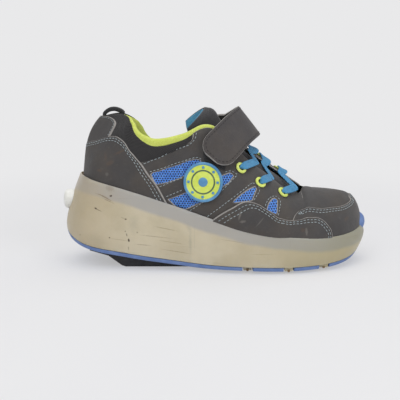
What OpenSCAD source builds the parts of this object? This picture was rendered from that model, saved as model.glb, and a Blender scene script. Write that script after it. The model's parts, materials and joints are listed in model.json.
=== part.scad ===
// Wheeled sneaker with a fold-away heel wheel, right shoe.
// Toe along +X, outer side along -Y, floor at z = 0, wheel drawn folded into the sole.

/* [Sole] */
// Length of the sole from heel to toe
sole_len = 232; // [212:1:252]
// Width of the sole across the ball of the foot
sole_w = 86; // [80:1:94]
// Height of the sole wall at the heel
heel_h = 69.5; // [68:0.5:74]
// Height of the sole wall at the ball of the foot
ball_h = 26; // [24:0.5:30]
// Thickness of the coloured tread rubber
tread_t = 3; // [2.5:0.25:4]
// Depth of the tread lugs under the tread rubber
lug_h = 1.2; // [0.8:0.1:1.6]
// Width of the flex gaps between the tread pads
flex_gap = 8; // [6:0.5:10]
// Thickness of the sole lip beside the upper
lip_t = 1.3; // [1:0.1:2]

/* [Upper] */
// Height of the collar at the heel
collar_h = 115.3; // [108:0.5:124]
// Height of the toe box
toe_h = 54.5; // [51:0.5:58]
// Thickness of the sewn overlays
overlay_t = 1.2; // [0.9:0.1:1.6]
// Thickness of the mesh behind the side windows
mesh_t = 0.6; // [0.5:0.05:0.8]
// Thickness of the padded lining
lining_t = 2.1; // [1.6:0.1:2.6]
// How far the lining roll stands above the collar
roll_h = 3; // [2:0.5:4]
// Thickness of the lasting board
board_t = 2; // [1.5:0.25:2.5]
// Thickness of the removable insole
insole_t = 4; // [3:0.5:5]
// Thickness of the padded tongue
tongue_t = 5; // [4:0.5:6]
// Diameter of the side badge
badge_d = 29; // [24:1:32]
// Outer diameter of an eyelet
eyelet_d = 8.5; // [8:0.25:9.5]
// Width of the flat lace
lace_w = 5.5; // [4.5:0.25:6.5]
// Thickness of the flat lace
lace_t = 0.8; // [0.6:0.1:0.9]
// Width of the instep strap
strap_w = 27; // [22:1:30]
// Thickness of the instep strap
strap_t = 2; // [1.5:0.1:2.5]
// Thickness of each half of the hook and loop fastener
grip_t = 1; // [0.8:0.1:1.4]
// Inner radius of the heel pull loop
loop_r = 8; // [7:0.5:9]

/* [Wheel] */
// Diameter of the heel wheel
wheel_d = 32; // [28:1:33]
// Width of the heel wheel
wheel_w = 22; // [20:0.5:23]
// Diameter of the wheel axle
axle_d = 8; // [7:0.25:8.25]
// Outer diameter of a wheel bearing
bearing_d = 16; // [15.5:0.25:17]
// Width of a wheel bearing
bearing_w = 5; // [4.5:0.25:5.5]
// Balls in one bearing
ball_n = 9; // [7:1:9]
// Distance from the arm pivot to the wheel axle
arm_len = 36; // [34:0.5:38]
// Distance from the back of the heel to the arm pivot
pivot_back = 42; // [41:0.5:44]
// Diameter of the arm pivot pin
pivot_d = 6; // [5:0.25:7]
// Radius of the latch cam on the arm
cam_r = 10; // [9:0.25:10.5]
// Thickness of one arm plate
plate_t = 2.5; // [2:0.25:3]
// Wall of the wheel housing
house_wall = 2; // [1.5:0.25:2.5]
// Gap under the folded wheel
wheel_lift = 2.5; // [2:0.25:4]

/* [Release button] */
// Diameter of the release button
button_d = 15; // [14:0.5:16]
// Height of the button centre above its stem
button_up = 3; // [2.5:0.1:3.2]
// How far the button stands out of the heel
button_out = 5; // [4.5:0.25:6]
// Travel of the button
button_travel = 4; // [3:0.25:4]

/* [Fits] */
// Gap between pieces that are glued or sewn together
seam = 0.3; // [0.25:0.05:0.4]
// Gap between the layers of the upper
layer_gap = 0.55; // [0.5:0.05:0.7]
// Gap between pieces that slide or swing
slide_gap = 0.4; // [0.3:0.05:0.5]
// Radial clearance of a turning fit
run_fit = 0.05; // [0.03:0.01:0.08]

/* [Hidden] */
$fn = 40;
heel_x = -sole_len / 2;
half_w = sole_w / 2;

// Plan outline, toe then outer side then heel: share of the length, share of the half width
plan_pts = [[1, 0.14], [0.945, -0.42], [0.86, -0.755], [0.72, -0.975], [0.55, -0.965], [0.38, -0.83],
            [0.2, -0.775], [0.065, -0.6], [0, 0], [0.065, 0.6], [0.2, 0.765], [0.38, 0.755],
            [0.55, 0.875], [0.7, 0.995], [0.86, 0.9], [0.957, 0.6]];
turns = len(plan_pts);
// Wedge of the sole wall from heel (1) to ball (0), by share of the length
wedge_line = [[0, 1], [0.1, 0.93], [0.23, 0.76], [0.34, 0.575], [0.48, 0.33], [0.6, 0.15], [0.72, 0.046],
              [0.85, -0.01], [0.93, 0], [0.97, 0.02], [1, 0.06]];
// Height of the lower edge of the sole wall
edge_line = [[0, 24], [0.02, 20.5], [0.05, 17.5], [0.1, 14.5], [0.2, 11], [0.3, 7.6], [0.45, 3.6], [0.58,
    2.4],
             [0.7, 1.9], [0.8, 2], [0.86, 2.6], [0.92, 4], [0.97, 6.2], [1, 10]];
// Inset of the wall at its top, at its bottom, and where along its height it is widest
top_in = [[0, 12], [0.05, 9], [0.15, 5], [0.4, 3], [0.7, 2], [1, 2]];
foot_in = [[0, 1], [0.1, 1.5], [0.5, 1.5], [0.85, 2], [0.95, 3.5], [1, 5.5]];
belly_at = [[0, 0.15], [0.1, 0.25], [0.5, 0.35], [0.8, 0.5], [1, 0.7]];
// How far the rounded underside reaches in from the edge, and how far it drops there
roll_in = [[0, 16], [0.1, 14], [0.5, 13], [0.9, 13], [1, 12]];
belly_drop = 2.6;
// Depth of the foot well below the sole lip
well_depth = [[0, 14], [0.1, 12.5], [0.24, 7.9], [0.265, 6.4], [0.34, 7], [0.48, 7.9], [0.6, 9], [0.72,
    9.5],
              [0.85, 8.5], [0.93, 9.2], [1, 9.6]];
// Top line of the upper: share of the length, y, rise from toe to collar, lean from upright
top_line = [[0, [0.905, 5, 0, 88]], [1, [0.871, 4.5, 0.016, 90]], [2, [0.828, 4, 0.03, 90]],
    [2.5, [0.789, 3.5, 0.049, 86]], [2.75, [0.765, -8, 0, 72]], [3, [0.728, -13.5, 0.061, 62]],
    [3.4, [0.655, -14.5, 0.276, 58]], [3.75, [0.595, -16, 0.452, 54]], [4.1, [0.534, -18, 0.674, 46]],
    [4.4, [0.491, -20, 0.819, 34]], [4.7, [0.448, -23, 0.806, 22]], [5, [0.388, -26.5, 0.658, 8]],
    [5.5, [0.297, -27.5, 0.633, 5]], [5.9, [0.25, -25.5, 0.748, 8]], [6.2, [0.235, -23, 0.88, 14]],
    [6.6, [0.22, -17.5, 0.97, 22]], [7.2, [0.181, -9.5, 1, 32]], [8, [0.131, 0, 0.969, 46]],
    [8.8, [0.181, 9.5, 0.99, 32]], [9.4, [0.22, 17.5, 0.905, 22]], [9.8, [0.235, 23, 0.79, 14]],
    [10.1, [0.25, 24.9, 0.66, 8]], [10.5, [0.293, 24.9, 0.55, 5]], [11, [0.384, 23.6, 0.575, 8]],
    [11.3, [0.448, 21.8, 0.71, 22]], [11.6, [0.491, 18.5, 0.79, 40]], [11.9, [0.534, 12, 0.73, 70]],
    [12.25, [0.595, 6.5, 0.559, 94]], [12.6, [0.655, 4, 0.395, 98]], [13, [0.731, 4, 0.197, 98]],
    [13.25, [0.769, 5, 0.099, 92]], [13.5, [0.789, 3.5, 0.049, 86]], [14, [0.828, 4, 0.03, 90]],
    [15, [0.871, 4.5, 0.016, 90]], [16, [0.905, 5, 0, 88]]];
// Half width of the sole for which the y values above are drawn
drawn_half = 43;
// Outward lean of the upper at the sole, from toe to heel
base_lean = [[0, 4], [2, 8], [4, 6], [6, 0], [7, -6], [8, -9]];
// Fullness of the upper's profile at the sole and at the top line
full_low = 0.45;
full_top = 0.38;

// Seam lines on the upper: place round the sole, share of the height
counter_top = [[5.15, 0], [5.26, 0.13], [5.38, 0.3], [5.53, 0.47], [5.69, 0.63], [5.86, 0.71], [6.1,
    0.75],
               [6.38, 0.745], [6.63, 0.725], [7.02, 0.67], [7.4, 0.6], [8, 0.54]];
collar_low = [[4.85, 0.9], [5.09, 0.92], [5.24, 0.9], [5.39, 0.85], [5.53, 0.78], [5.72, 0.68]];
guard_top = [[1.85, 0.02], [1.95, 0.19], [2.1, 0.26], [2.23, 0.31], [2.36, 0.34], [2.5, 0.345], [2.73,
    0.385],
             [2.97, 0.37], [3.17, 0.35], [3.35, 0.39], [3.56, 0.42], [3.7, 0.41], [3.83, 0.37], [4.03,
                 0.25], [4.4, 0.05]];
cap_edge = [[0, 0.74], [0.45, 0.64], [0.85, 0.54], [1.3, 0.5], [2.2, 0.48], [2.45, 0.5], [2.62, 0.53]];
// Ends of the panels round the sole
guard_u = [2.05, 4.28];
cap_u = 2.62;
quarter_u = [2.65, 5.7];
counter_u = 5.2;
collar_u = [4.9, 6.8];
tab_u = 6.88;
throat_u = 2.5;
// Side windows in the outer and inner quarter, as outlines seen from the side, share of length and rise
windows = [[[0.292, 0.295], [0.306, 0.178], [0.448, 0.4], [0.446, 0.466]],
           [[0.346, -0.005], [0.54, 0.315], [0.549, 0.279], [0.397, -0.125], [0.372, -0.1]],
           [[0.62, 0.148], [0.607, -0.016], [0.547, -0.046], [0.597, 0.117]],
           [[0.672, 0], [0.686, -0.007], [0.685, -0.187], [0.656, -0.13]]];

// Eyelets from the top row down: place round the sole, share of the height
eyelets_out = [[3.88, 0.77], [3.52, 0.75], [3.1, 0.85]];
eyelets_in = [[12.18, 0.86], [12.54, 0.86], [12.9, 0.87]];
badge_at = [4.58, 0.39];

// Layers of the upper, measured inward from its outer face
mesh_d = overlay_t + layer_gap;
lining_d = mesh_d + mesh_t + layer_gap;
inner_d = lining_d + lining_t;
foot_d = inner_d + seam;
throat_drop = 0.8;
glue = seam * 1.2;

// Wheel mechanism, worked out from the foot well downward
pivot_x = heel_x + pivot_back;
wheel_r = wheel_d / 2;
roof_x = pivot_x + 19;
roof_in = floor_z(share(roof_x)) - 1 - house_wall;
latch_t = 2.6;
latch_top = roof_in - slide_gap;
latch_z = latch_top - latch_t;
pivot_z = latch_z - slide_gap - cam_r;
axle_z = wheel_r + wheel_lift;
axle_x = pivot_x + sqrt(pow(arm_len, 2) - pow(pivot_z - axle_z, 2));
arm_angle = asin((pivot_z - axle_z) / arm_len);
swing = 90 - arm_angle;
arm_y = wheel_w / 2 + 0.7;
head_t = 2.2;
house_y = arm_y + plate_t + head_t + 1.2;
house_back = pivot_x - wheel_r - 6;
house_front = axle_x + wheel_r + 2.5 + house_wall;
// Lower edge of the housing behind the wheel: distance from its back, height
house_rise = [[0, 12.6], [14, 8.5], [24, 1], [27, 0]];
roof_front = axle_z + wheel_r * 0.8;
// Run-out of a cut past the piece it cuts
cut = 20;
stem_r = 1.4;
stem_z = latch_z + latch_t / 2 + 0.1;
button_z = stem_z + button_up;
heel_wall = heel_x + 4;
button_tip = heel_wall - button_out;
button_seat = heel_wall + 8.4;
button_len = button_seat - button_tip - button_travel - slide_gap;
button_r = button_d / 2;
sleeve_r = pivot_d / 2 + 2.5;
hub_r = bearing_d / 2 + 2.5;
race_r = (axle_d + bearing_d) / 4;
ball_r = (bearing_d - axle_d) * 0.14;
bearing_y = wheel_w / 2 - 0.8 - bearing_w;
screw_xy = [for (x = [house_back + 6, pivot_x + 4], y = [-13, 13]) [x, y]];
screw_r = 1.6;
screw_up = 4.4;
spring_wire = 0.6;
spring_r = 2.3;
spring_turns = 5;
coil_wire = 1.2;
coil_r = sleeve_r + 1.5;
coil_turns = 3;
coil_pitch = 1.75;

// Smooth curve through stations [place, value]; the value may be a vector
function spot(t, x) = x >= t[len(t) - 2][0] ? len(t) - 2 : max([0, for (i = [0 : len(t) - 2])
    if (x >= t[i][0]) i]);
function slope(t, i) = let (a = max(i - 1, 0), b = min(i + 1,
    len(t) - 1)) (t[b][1] - t[a][1]) / (t[b][0] - t[a][0]);
function curve(t, x) =
    let (i = spot(t, x), h = t[i + 1][0] - t[i][0], k = min(max((x - t[i][0]) / h, 0), 1), k2 = k * k,
        k3 = k2 * k)
    t[i][1] * (2 * k3 - 3 * k2 + 1) + slope(t, i) * h * (k3 - 2 * k2 + k)
    + t[i + 1][1] * (3 * k2 - 2 * k3) + slope(t, i + 1) * h * (k3 - k2);
function unit(v) = v / norm(v);
function share(x) = (x - heel_x) / sole_len;
function ring_u(u) = u - turns * floor(u / turns);
function fold_u(u) = let (r = ring_u(u)) min(r, turns - r);

// Sole outline at place u: [x, y, outward x, outward y]
function plan_at(i) = let (p = plan_pts[(i + 2 * turns) % turns]) [heel_x + sole_len * p[0],
    half_w * p[1]];
function plan(u) =
    let (r = ring_u(u), i = floor(r), k = r - i, a = plan_at(i - 1), b = plan_at(i), c = plan_at(i + 1),
         d = plan_at(i + 2), e1 = c - a, e2 = 2 * a - 5 * b + 4 * c - d, e3 = 3 * b - a - 3 * c + d,
         p = b + (e1 * k + e2 * k * k + e3 * k * k * k) / 2, t = unit(e1 + 2 * e2 * k + 3 * e3 * k * k))
    [p[0], p[1], -t[1], t[0]];
function inset(p, d) = [p[0] - p[2] * d, p[1] - p[3] * d];
function lip_z(s) = ball_h + (heel_h - ball_h) * curve(wedge_line, s);
function floor_z(s) = lip_z(s) - curve(well_depth, s);
function edge_z(s) = curve(edge_line, s);

// Sole wall at place u and share t of its height, moved in by d
function wall(u, t, d = 0) =
    let (p = plan(u), s = share(p[0]), w = curve(belly_at, s),
         o = t < w ? curve(foot_in, s) * pow(1 - t / w, 2) : curve(top_in, s) * pow((t - w) / (1 - w),
             1.4),
         q = inset(p, o + d))
    [q[0], q[1], edge_z(s) + (lip_z(s) - edge_z(s)) * t];
function wall_up(u, h) = let (s = share(plan(u)[0])) wall(u, h / (lip_z(s) - edge_z(s)));
// Rounded underside at place u, from the edge (k = 0) to the flat middle (k = 1), raised by h
function belly_z(s) = max(lug_h, edge_z(s) - belly_drop);
function under(u, k, h) =
    let (p = plan(u), s = share(p[0]), q = inset(p, curve(foot_in, s) + curve(roll_in, s) * k))
    [q[0], q[1], belly_z(s) + (edge_z(s) - belly_z(s)) * pow(1 - k, 1.6) + h];
// Floor of the foot well, inset d from the lip, raised by h
function bed(u, d, h) = let (p = plan(u), q = inset(p, curve(top_in, share(p[0])) + d)) [q[0], q[1],
    floor_z(share(q[0])) + h];

// One rib of the upper from the sole to the top line
function rib(u) =
    let (p = plan(u), s = share(p[0]), o = inset(p, curve(top_in, s) + lip_t + seam),
         b = [o[0], o[1], floor_z(s) + board_t + seam], r = curve(top_line, ring_u(u)),
         top = [heel_x + sole_len * r[0], r[1] * half_w / drawn_half, toe_h + (collar_h - toe_h) * r[2]],
             g = top - b,
         run = norm([g[0], g[1]]), len = norm([run, g[2]]), lean = curve(base_lean, fold_u(u)))
    [b, [g[0] / run, g[1] / run], [0, 0], full_low * len * [-sin(lean), cos(lean)],
     [run, g[2]] - full_top * len * [sin(r[3]), cos(r[3])], [run, g[2]]];
// Point on a rib at share v of its height, moved out by d
function on_rib(r, v, d) =
    let (w = 1 - v, p = 3 * w * w * v * r[3] + 3 * w * v * v * r[4] + v * v * v * r[5],
         t = unit(3 * w * w * r[3] + 6 * w * v * (r[4] - r[3]) + 3 * v * v * (r[5] - r[4])),
         a = p[0] - t[1] * d)
    [r[0][0] + r[1][0] * a, r[0][1] + r[1][1] * a, r[0][2] + p[1] + t[0] * d];
function face(u, v, d) = on_rib(rib(u), v, d);
function face_out(u, v) = let (e = 0.02, n = unit(cross(face(u, v + e, 0) - face(u, v - e, 0), face(u
    + e, v, 0) - face(u - e, v, 0))))
    n * (face(u, v, 1) - face(u, v, 0)) < 0 ? -n : n;

function quad(a, b, c, d) = concat(a == b || b == c || a == c ? [] : [[a, b, c]],
    a == c || c == d || a == d ? [] : [[a, c, d]]);

// Closed solid through rings of the same count, both ends closed across the middle
module loft(rings) {
    n = len(rings[0]);
    m = len(rings) - 1;
    side = [for (r = [0 : m - 1], i = [0 : n - 1])
        each quad(r * n + i, r * n + (i + 1) % n, (r + 1) * n + (i + 1) % n, (r + 1) * n + i)];
    low = [for (i = [0 : n / 2 - 1]) each quad(i + 1, i, (n - i) % n, n - i - 1)];
    high = [for (i = [0 : n / 2 - 1]) each quad(m * n + i, m * n + i + 1, m * n + n - i - 1, m * n
        + (n - i) % n)];
    polyhedron([for (r = rings) each r], concat(low, side, high));
}

// Closed solid along a path of like sections, listed all the way round; ends closed flat
module sweep(sections) {
    n = len(sections[0]);
    m = len(sections) - 1;
    side = [for (r = [0 : m - 1], i = [0 : n - 1])
        each quad(r * n + i, (r + 1) * n + i, (r + 1) * n + (i + 1) % n, r * n + (i + 1) % n)];
    first = [for (i = [1 : n - 2]) [0, i, i + 1]];
    last = [for (i = [1 : n - 2]) [m * n, m * n + i + 1, m * n + i]];
    polyhedron([for (r = sections) each r], concat(first, side, last));
}

// Layer of the upper over places us, from height lows to highs, between depths d_out and d_in.
// Ribs up to zip_u from the toe meet their opposite ribs on the ridge.
module skin(us, lows, highs, rows, d_out, d_in, zip_u = -1, closed = false) {
    n = len(us) - 1;
    ribs = [for (u = us) rib(u)];
    pts = [for (side = [0, 1], i = [0 : n], j = [0 : rows])
        on_rib(ribs[i], lows[i] + (highs[i] - lows[i]) * j / rows, side == 0 ? d_out[i] : d_in[i])];
    function zipped(i) = fold_u(us[i]) <= zip_u;
    function at(side, i, j) =
        (side * (n + 1) + (closed && i == n ? 0 : j == rows && zipped(i) && i > n / 2 ? n - i :
            i)) * (rows + 1) + j;
    faces = [for (i = [0 : n - 1], j = [0 : rows - 1]) each concat(
        quad(at(0, i, j), at(0, i + 1, j), at(0, i + 1, j + 1), at(0, i, j + 1)),
        quad(at(1, i, j + 1), at(1, i + 1, j + 1), at(1, i + 1, j), at(1, i, j)))];
    foot = [for (i = [0 : n - 1]) each quad(at(0, i + 1, 0), at(0, i, 0), at(1, i, 0), at(1, i + 1, 0))];
    rim = [for (i = [0 : n - 1]) if (!(zipped(i) && zipped(i + 1)))
        each quad(at(0, i, rows), at(0, i + 1, rows), at(1, i + 1, rows), at(1, i, rows))];
    ends = closed ? [] : [for (j = [0 : rows - 1]) each concat(
        quad(at(0, 0, j), at(0, 0, j + 1), at(1, 0, j + 1), at(1, 0, j)),
        quad(at(0, n, j + 1), at(0, n, j), at(1, n, j), at(1, n, j + 1)))];
    polyhedron(pts, concat(faces, foot, rim, ends));
}
function steps(a, b, n) = [for (i = [0 : n]) a + (b - a) * i / n];
function same(list, d) = [for (i = list) d];
function mirror_u(us) = [for (i = [len(us) - 1 : -1 : 0]) turns - us[i]];
function flip(list) = [for (i = [len(list) - 1 : -1 : 0]) list[i]];
module panel(us, lows, highs, rows, d_out = 0, d_in = -overlay_t) skin(us, lows, highs, rows, same(us,
    d_out), same(us, d_in));
module panel_inner(us, lows, highs, rows, d_out = 0, d_in = -overlay_t)
    panel(mirror_u(us), flip(lows), flip(highs), rows, d_out, d_in);

// Places round the sole that every full ring uses
round_u = steps(-turns / 2, turns / 2, 64);
ring_us = [for (i = [0 : 63]) round_u[i]];
module ring_loft(levels) loft([for (f = levels) f]);

// Frame that stands on the upper at a place, with its Z axis outward
module on_upper(at, d = 0) {
    p = face(at[0], at[1], d);
    z = face_out(at[0], at[1]);
    x = unit(cross([0, 0, 1], z));
    y = cross(z, x);
    multmatrix([[x[0], y[0], z[0], p[0]], [x[1], y[1], z[1], p[1]], [x[2], y[2], z[2], p[2]]]) children();
}

module along_y(x, z, y0 = 0) translate([x, y0, z]) rotate([-90, 0, 0]) children();

// Outline of the wheel housing seen from the side, grown by g; the cut for it runs on below the floor
function house_outline(g, drop) = concat([for (p = house_rise) [house_back - g + p[0], p[1] - drop]],
    [[house_front + g, -drop], [house_front + g, roof_front + g], [roof_x + g, roof_in + house_wall + g],
     [house_back - g, roof_in + house_wall + g]]);
module house_block(g, drop, y) translate([0, y, 0]) rotate([90, 0, 0]) linear_extrude(2 * y)
    polygon(house_outline(g, drop));
module house_pocket() house_block(seam, cut, house_y + house_wall + seam);
module button_axis(x) translate([x, 0, button_z]) rotate([0, 90, 0]) children();
module stem_axis(x) translate([x, 0, stem_z]) rotate([0, 90, 0]) children();

module midsole() color("#c3b79b") difference() {
    loft(concat(
        [for (k = [1, 0.66, 0.33]) [for (u = ring_us) under(u, k, tread_t + glue)]],
        [[for (u = ring_us) wall_up(u, tread_t + glue)]],
        [for (t = [0.3, 0.5, 0.75, 1]) [for (u = ring_us) wall(u, t)]],
        [[for (u = ring_us) wall(u, 1, lip_t * 0.4)]],
        [[for (u = ring_us) bed(u, lip_t, 0)]]));
    house_pocket();
    button_axis(heel_x - cut) cylinder(r = button_r + slide_gap / 2, h = button_seat - heel_x + cut);
    stem_axis(heel_x) cylinder(r = stem_r + run_fit, h = house_back - heel_x);
    for (p = screw_xy) translate([p[0], p[1], roof_in]) cylinder(r = screw_r + run_fit, h = 30);
}

// Whole tread layer, cut into pads by the modules below
module tread_layer() loft(concat(
    [for (k = [1, 0.66, 0.33, 0]) [for (u = ring_us) under(u, k, 0)]],
    [[for (u = ring_us) wall_up(u, tread_t)]],
    [for (k = [0.33, 0.66, 1]) [for (u = ring_us) under(u, k, tread_t)]]));
// Flex gaps by share of the length: middles of the gaps
flex_at = [0.595, 0.724, 0.84];
function flex_x(i) = heel_x + sole_len * flex_at[i];
module tread_piece(x0, x1) intersection() {
    tread_layer();
    translate([x0, -sole_w, -cut]) cube([x1 - x0, 2 * sole_w, heel_h + cut]);
}
// Row of cross bars on the flat of the tread
module lugs(x0, x1, y, n) for (i = [0 : n - 1]) let (pitch = (x1 - x0) / n)
    translate([x0 + pitch * (i + 0.2), -y, 0]) cube([pitch * 0.6, 2 * y, lug_h + tread_t / 2]);

module outsole_heel() color("#5f7db9") difference() {
    union() {
        tread_piece(heel_x - 5, flex_x(0) - flex_gap / 2);
        lugs(house_front + 2, flex_x(0) - flex_gap / 2 - 1, 20, 3);
    }
    house_pocket();
}
module outsole_pads() color("#5f7db9") {
    for (i = [0, 1]) {
        tread_piece(flex_x(i) + flex_gap / 2, flex_x(i + 1) - flex_gap / 2);
        lugs(flex_x(i) + flex_gap / 2 + 1, flex_x(i + 1) - flex_gap / 2 - 1, 24, 2);
    }
}
module outsole_toe() color("#5f7db9") tread_piece(flex_x(2) + flex_gap / 2, heel_x + sole_len + 5);

module lasting_board() color("tan") difference() {
    loft([for (h = [seam, board_t]) [for (u = ring_us) bed(u, lip_t + 2 * seam, h)]]);
    for (p = screw_xy) translate([p[0], p[1], roof_in]) cylinder(r = screw_r + run_fit, h = 30);
}
module insole() color("#39393d")
    loft([for (h = [board_t + seam, board_t + insole_t]) [for (u = ring_us) bed(u, lip_t + foot_d + 3,
        h)]]);

// Padded lining of the whole upper, with its roll standing above the collar
lining_us = round_u;
function throat_share(u) = let (f = fold_u(u)) f <= throat_u || f >= 4.4 ? 0 : min(1, (f - throat_u) * 4,
    (4.4 - f) * 4);
function roll_share(u) = let (f = fold_u(u)) max(0, min(1, (f - 4.4) * 3, (7.3 - f) * 1.5));
module lining() color("#cdde5a") skin(lining_us, same(lining_us, 0),
    [for (u = lining_us) 1 + roll_share(u) * roll_h / 60], 10,
    [for (u = lining_us) -lining_d - throat_drop * throat_share(u)],
    [for (u = lining_us) -inner_d - throat_drop * throat_share(u)], throat_u, true);

mesh_us = steps(3, 5.5, 16);
mesh_low = same(mesh_us, 0.06);
mesh_high = [for (u = mesh_us) min(0.72, u < 4.3 ? 0.55 + (u - 3) * 0.1 : 0.72, 0.72 - max(0,
    u - 5) * 0.2)];
module side_mesh_outer() color("#3e76cd") panel(mesh_us, mesh_low, mesh_high, 5, -mesh_d,
    -mesh_d - mesh_t);
module side_mesh_inner() color("#3e76cd") panel_inner(mesh_us, mesh_low, mesh_high, 5, -mesh_d,
    -mesh_d - mesh_t);

sew = 0.01;
function guard(u) = curve(guard_top, fold_u(u));
function cap(u) = curve(cap_edge, fold_u(u));
cap_half = concat(steps(0, 1.8, 12), [1.95, 2.05, 2.2, 2.32, 2.45, cap_u]);
cap_us = concat([for (i = [len(cap_half) - 1 : -1 : 1]) -cap_half[i]], cap_half);
module toe_cap() color("#4b494a") panel(cap_us,
    [for (u = cap_us) fold_u(u) < guard_u[0] - 0.01 ? 0 : guard(u) + sew], [for (u = cap_us)
        cap(u) - sew], 5);
// Rubber bumper glued round the toe, above the sole lip
bumper_u = 0.5;
bumper_t = 3;
bumper_us = steps(-bumper_u, bumper_u, 16);
module toe_bumper() color("#5f7db9") panel(bumper_us, [for (u = bumper_us) 0.17 + 0.02 * abs(u)],
    [for (u = bumper_us) 0.42 - 0.1 * pow(abs(u) / bumper_u, 2)], 3, seam + bumper_t, seam);
vamp_us = concat([-cap_u], steps(-throat_u, throat_u, 40), [cap_u]);
module vamp() color("#4b494a") skin(vamp_us, [for (u = vamp_us) cap(u) + sew], same(vamp_us, 1), 5,
    same(vamp_us, 0), same(vamp_us, -overlay_t), throat_u);
guard_us = steps(guard_u[0] + 0.03, guard_u[1], 24);
guard_high = [for (u = guard_us) guard(u) - sew];
module mudguard_outer() color("#4b494a") panel(guard_us, same(guard_us, 0), guard_high, 3);
module mudguard_inner() color("#4b494a") panel_inner(guard_us, same(guard_us, 0), guard_high, 3);

quarter_us = concat(steps(quarter_u[0], guard_u[1] + 0.01, 14), steps(guard_u[1] + 0.06,
    counter_u - 0.06, 7),
    steps(counter_u, quarter_u[1], 10));
quarter_low = [for (u = quarter_us) u < guard_u[1] + 0.03 ? guard(u) + sew : u < counter_u - 0.03 ? 0 :
    curve(counter_top, u) + sew];
quarter_high = [for (u = quarter_us) u < collar_u[0] - 0.02 ? 1 : curve(collar_low, u)];
module window_cuts(side) for (w = windows) translate([0, side < 0 ? 0 : sole_w, 0]) rotate([90, 0, 0])
    linear_extrude(sole_w) polygon([for (p = w) [heel_x + sole_len * p[0], toe_h
        + (collar_h - toe_h) * p[1]]]);
module eyelet_holes(list) for (e = list) on_upper(e) translate([0, 0, -overlay_t - 1.5])
    cylinder(r = eyelet_d * 0.36, h = overlay_t + 4);
module quarter_outer() color("#4b494a") difference() {
    panel(quarter_us, quarter_low, quarter_high, 8);
    eyelet_holes(eyelets_out);
    window_cuts(-1);
}
module quarter_inner() color("#4b494a") difference() {
    panel_inner(quarter_us, quarter_low, quarter_high, 8);
    eyelet_holes(eyelets_in);
    window_cuts(1);
}
counter_us = steps(counter_u, turns - counter_u, 36);
module heel_counter() color("#4b494a") intersection() {
    panel(counter_us, same(counter_us, 0), [for (u = counter_us) curve(counter_top, fold_u(u)) - sew], 6);
    // Its two front ends are trimmed upright
    translate([heel_x - cut, -sole_w, 0]) cube([plan(counter_u)[0] - seam - heel_x + cut, 2 * sole_w,
        collar_h]);
}
collar_us = steps(collar_u[0], collar_u[1], 18);
collar_base = [for (u = collar_us) u < 5.71 ? curve(collar_low, u) + sew : curve(counter_top, u) + sew];
module collar_outer() color("#232325") panel(collar_us, collar_base, same(collar_us, 1), 5, 0.6);
module collar_inner() color("#232325") panel_inner(collar_us, collar_base, same(collar_us, 1), 5, 0.6);
tab_us = steps(tab_u, turns - tab_u, 14);
module heel_tab() color("#4b494a") panel(tab_us, [for (u = tab_us) curve(counter_top, fold_u(u)) + sew],
    same(tab_us, 0.97), 4, 0.6);

// Webbing loop over the heel, from behind the heel tab to inside the lining
loop_t = 0.8;
loop_w = 6;
loop_d = overlay_t + seam * 1.8 + loop_t / 2;
loop_foot = face(turns / 2, 0.98, -loop_d);
loop_path = concat(
    [for (v = [0.82, 0.9]) face(turns / 2, v, -loop_d)],
    [loop_foot],
    [for (p = [[0.08, 0.45], [0.58, 0.85], [1.2, 0.85], [1.7, 0.42]]) loop_foot + loop_r * [p[0], 0, p[1]]],
    [face(turns / 2, 1, -inner_d - 5.5), face(turns / 2, 0.9, -inner_d - 3.5), face(turns / 2, 0.8,
        -inner_d - 3.3)]);
// The webbing follows the round of the heel across its width
loop_bow = face(turns / 2 + 0.3, 0.9, -loop_d);
loop_round = [(loop_bow[0] - face(turns / 2, 0.9, -loop_d)[0]) * pow(loop_w / 2 / loop_bow[1], 2), 0, 0];
module pull_loop() color("#1c1c1e") {
    path = stations(loop_path);
    sweep([for (k = places(path, 3))
        let (t = unit(curve(path, k + 0.2) - curve(path, k - 0.2)), n = [-t[2], 0, t[0]] * loop_t / 2,
             c = curve(path, k), a = c + [0, loop_w / 2, 0] + loop_round, b = c - [0, loop_w / 2, 0]
                 + loop_round)
        [c + n, b + n, b - n, c - n, a - n, a + n]]);
}

// Tongue: follows the middle of the throat, then stands free above it
function throat_mid(w) = (face(w, 1, 0) + face(turns - w, 1, 0)) / 2;
function throat_side(w) = unit(face(turns - w, 1, 0) - face(w, 1, 0));
function throat_half(w) = norm(face(turns - w, 1, 0) - face(w, 1, 0)) / 2;
tongue_top = [heel_x + sole_len * 0.47, 0, collar_h + 3.5];
function throat_up(w) = unit(cross(throat_side(w), throat_mid(w + 0.1) - throat_mid(w - 0.1)));
// Stations: place, middle, side direction, up direction, half width, drop at the sides, thickness
tongue_line = concat(
    [[0, [throat_mid(2.75) + [12, 0, -7 - inner_d], [0, 1, 0], [0.3, 0, 0.95], 11, 3, tongue_t / 2]],
     [1, [throat_mid(2.75) + [0, 0, -4.2], throat_side(2.75), [0.4, 0, 0.92], throat_half(2.75) + 4, 5,
         tongue_t * 0.6]]],
    [for (w = [3, 3.4, 3.75, 4.1])
        [(w - 2.75) * 4 + 1, [throat_mid(w), throat_side(w), throat_up(w), throat_half(w) + 4.5, 12,
            tongue_t * 0.7]]],
    [[7.6, [throat_mid(4.4) + [10.5, 0, -1], [0, 1, 0], [0.72, 0, 0.69], 16, 14, tongue_t]],
     [9, [(throat_mid(4.4) + tongue_top) / 2 + [5, 0, 2.9], [-0.04, 1, 0.08], [0.74, 0, 0.67], 17.5, 19,
         tongue_t * 1.2]],
     [10.4, [tongue_top, [-0.06, 1, 0.12], [0.735, 0, 0.678], 18.5, 22, tongue_t * 0.7]]]);
tongue_sink = 2.4;
arch = 80;
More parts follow.
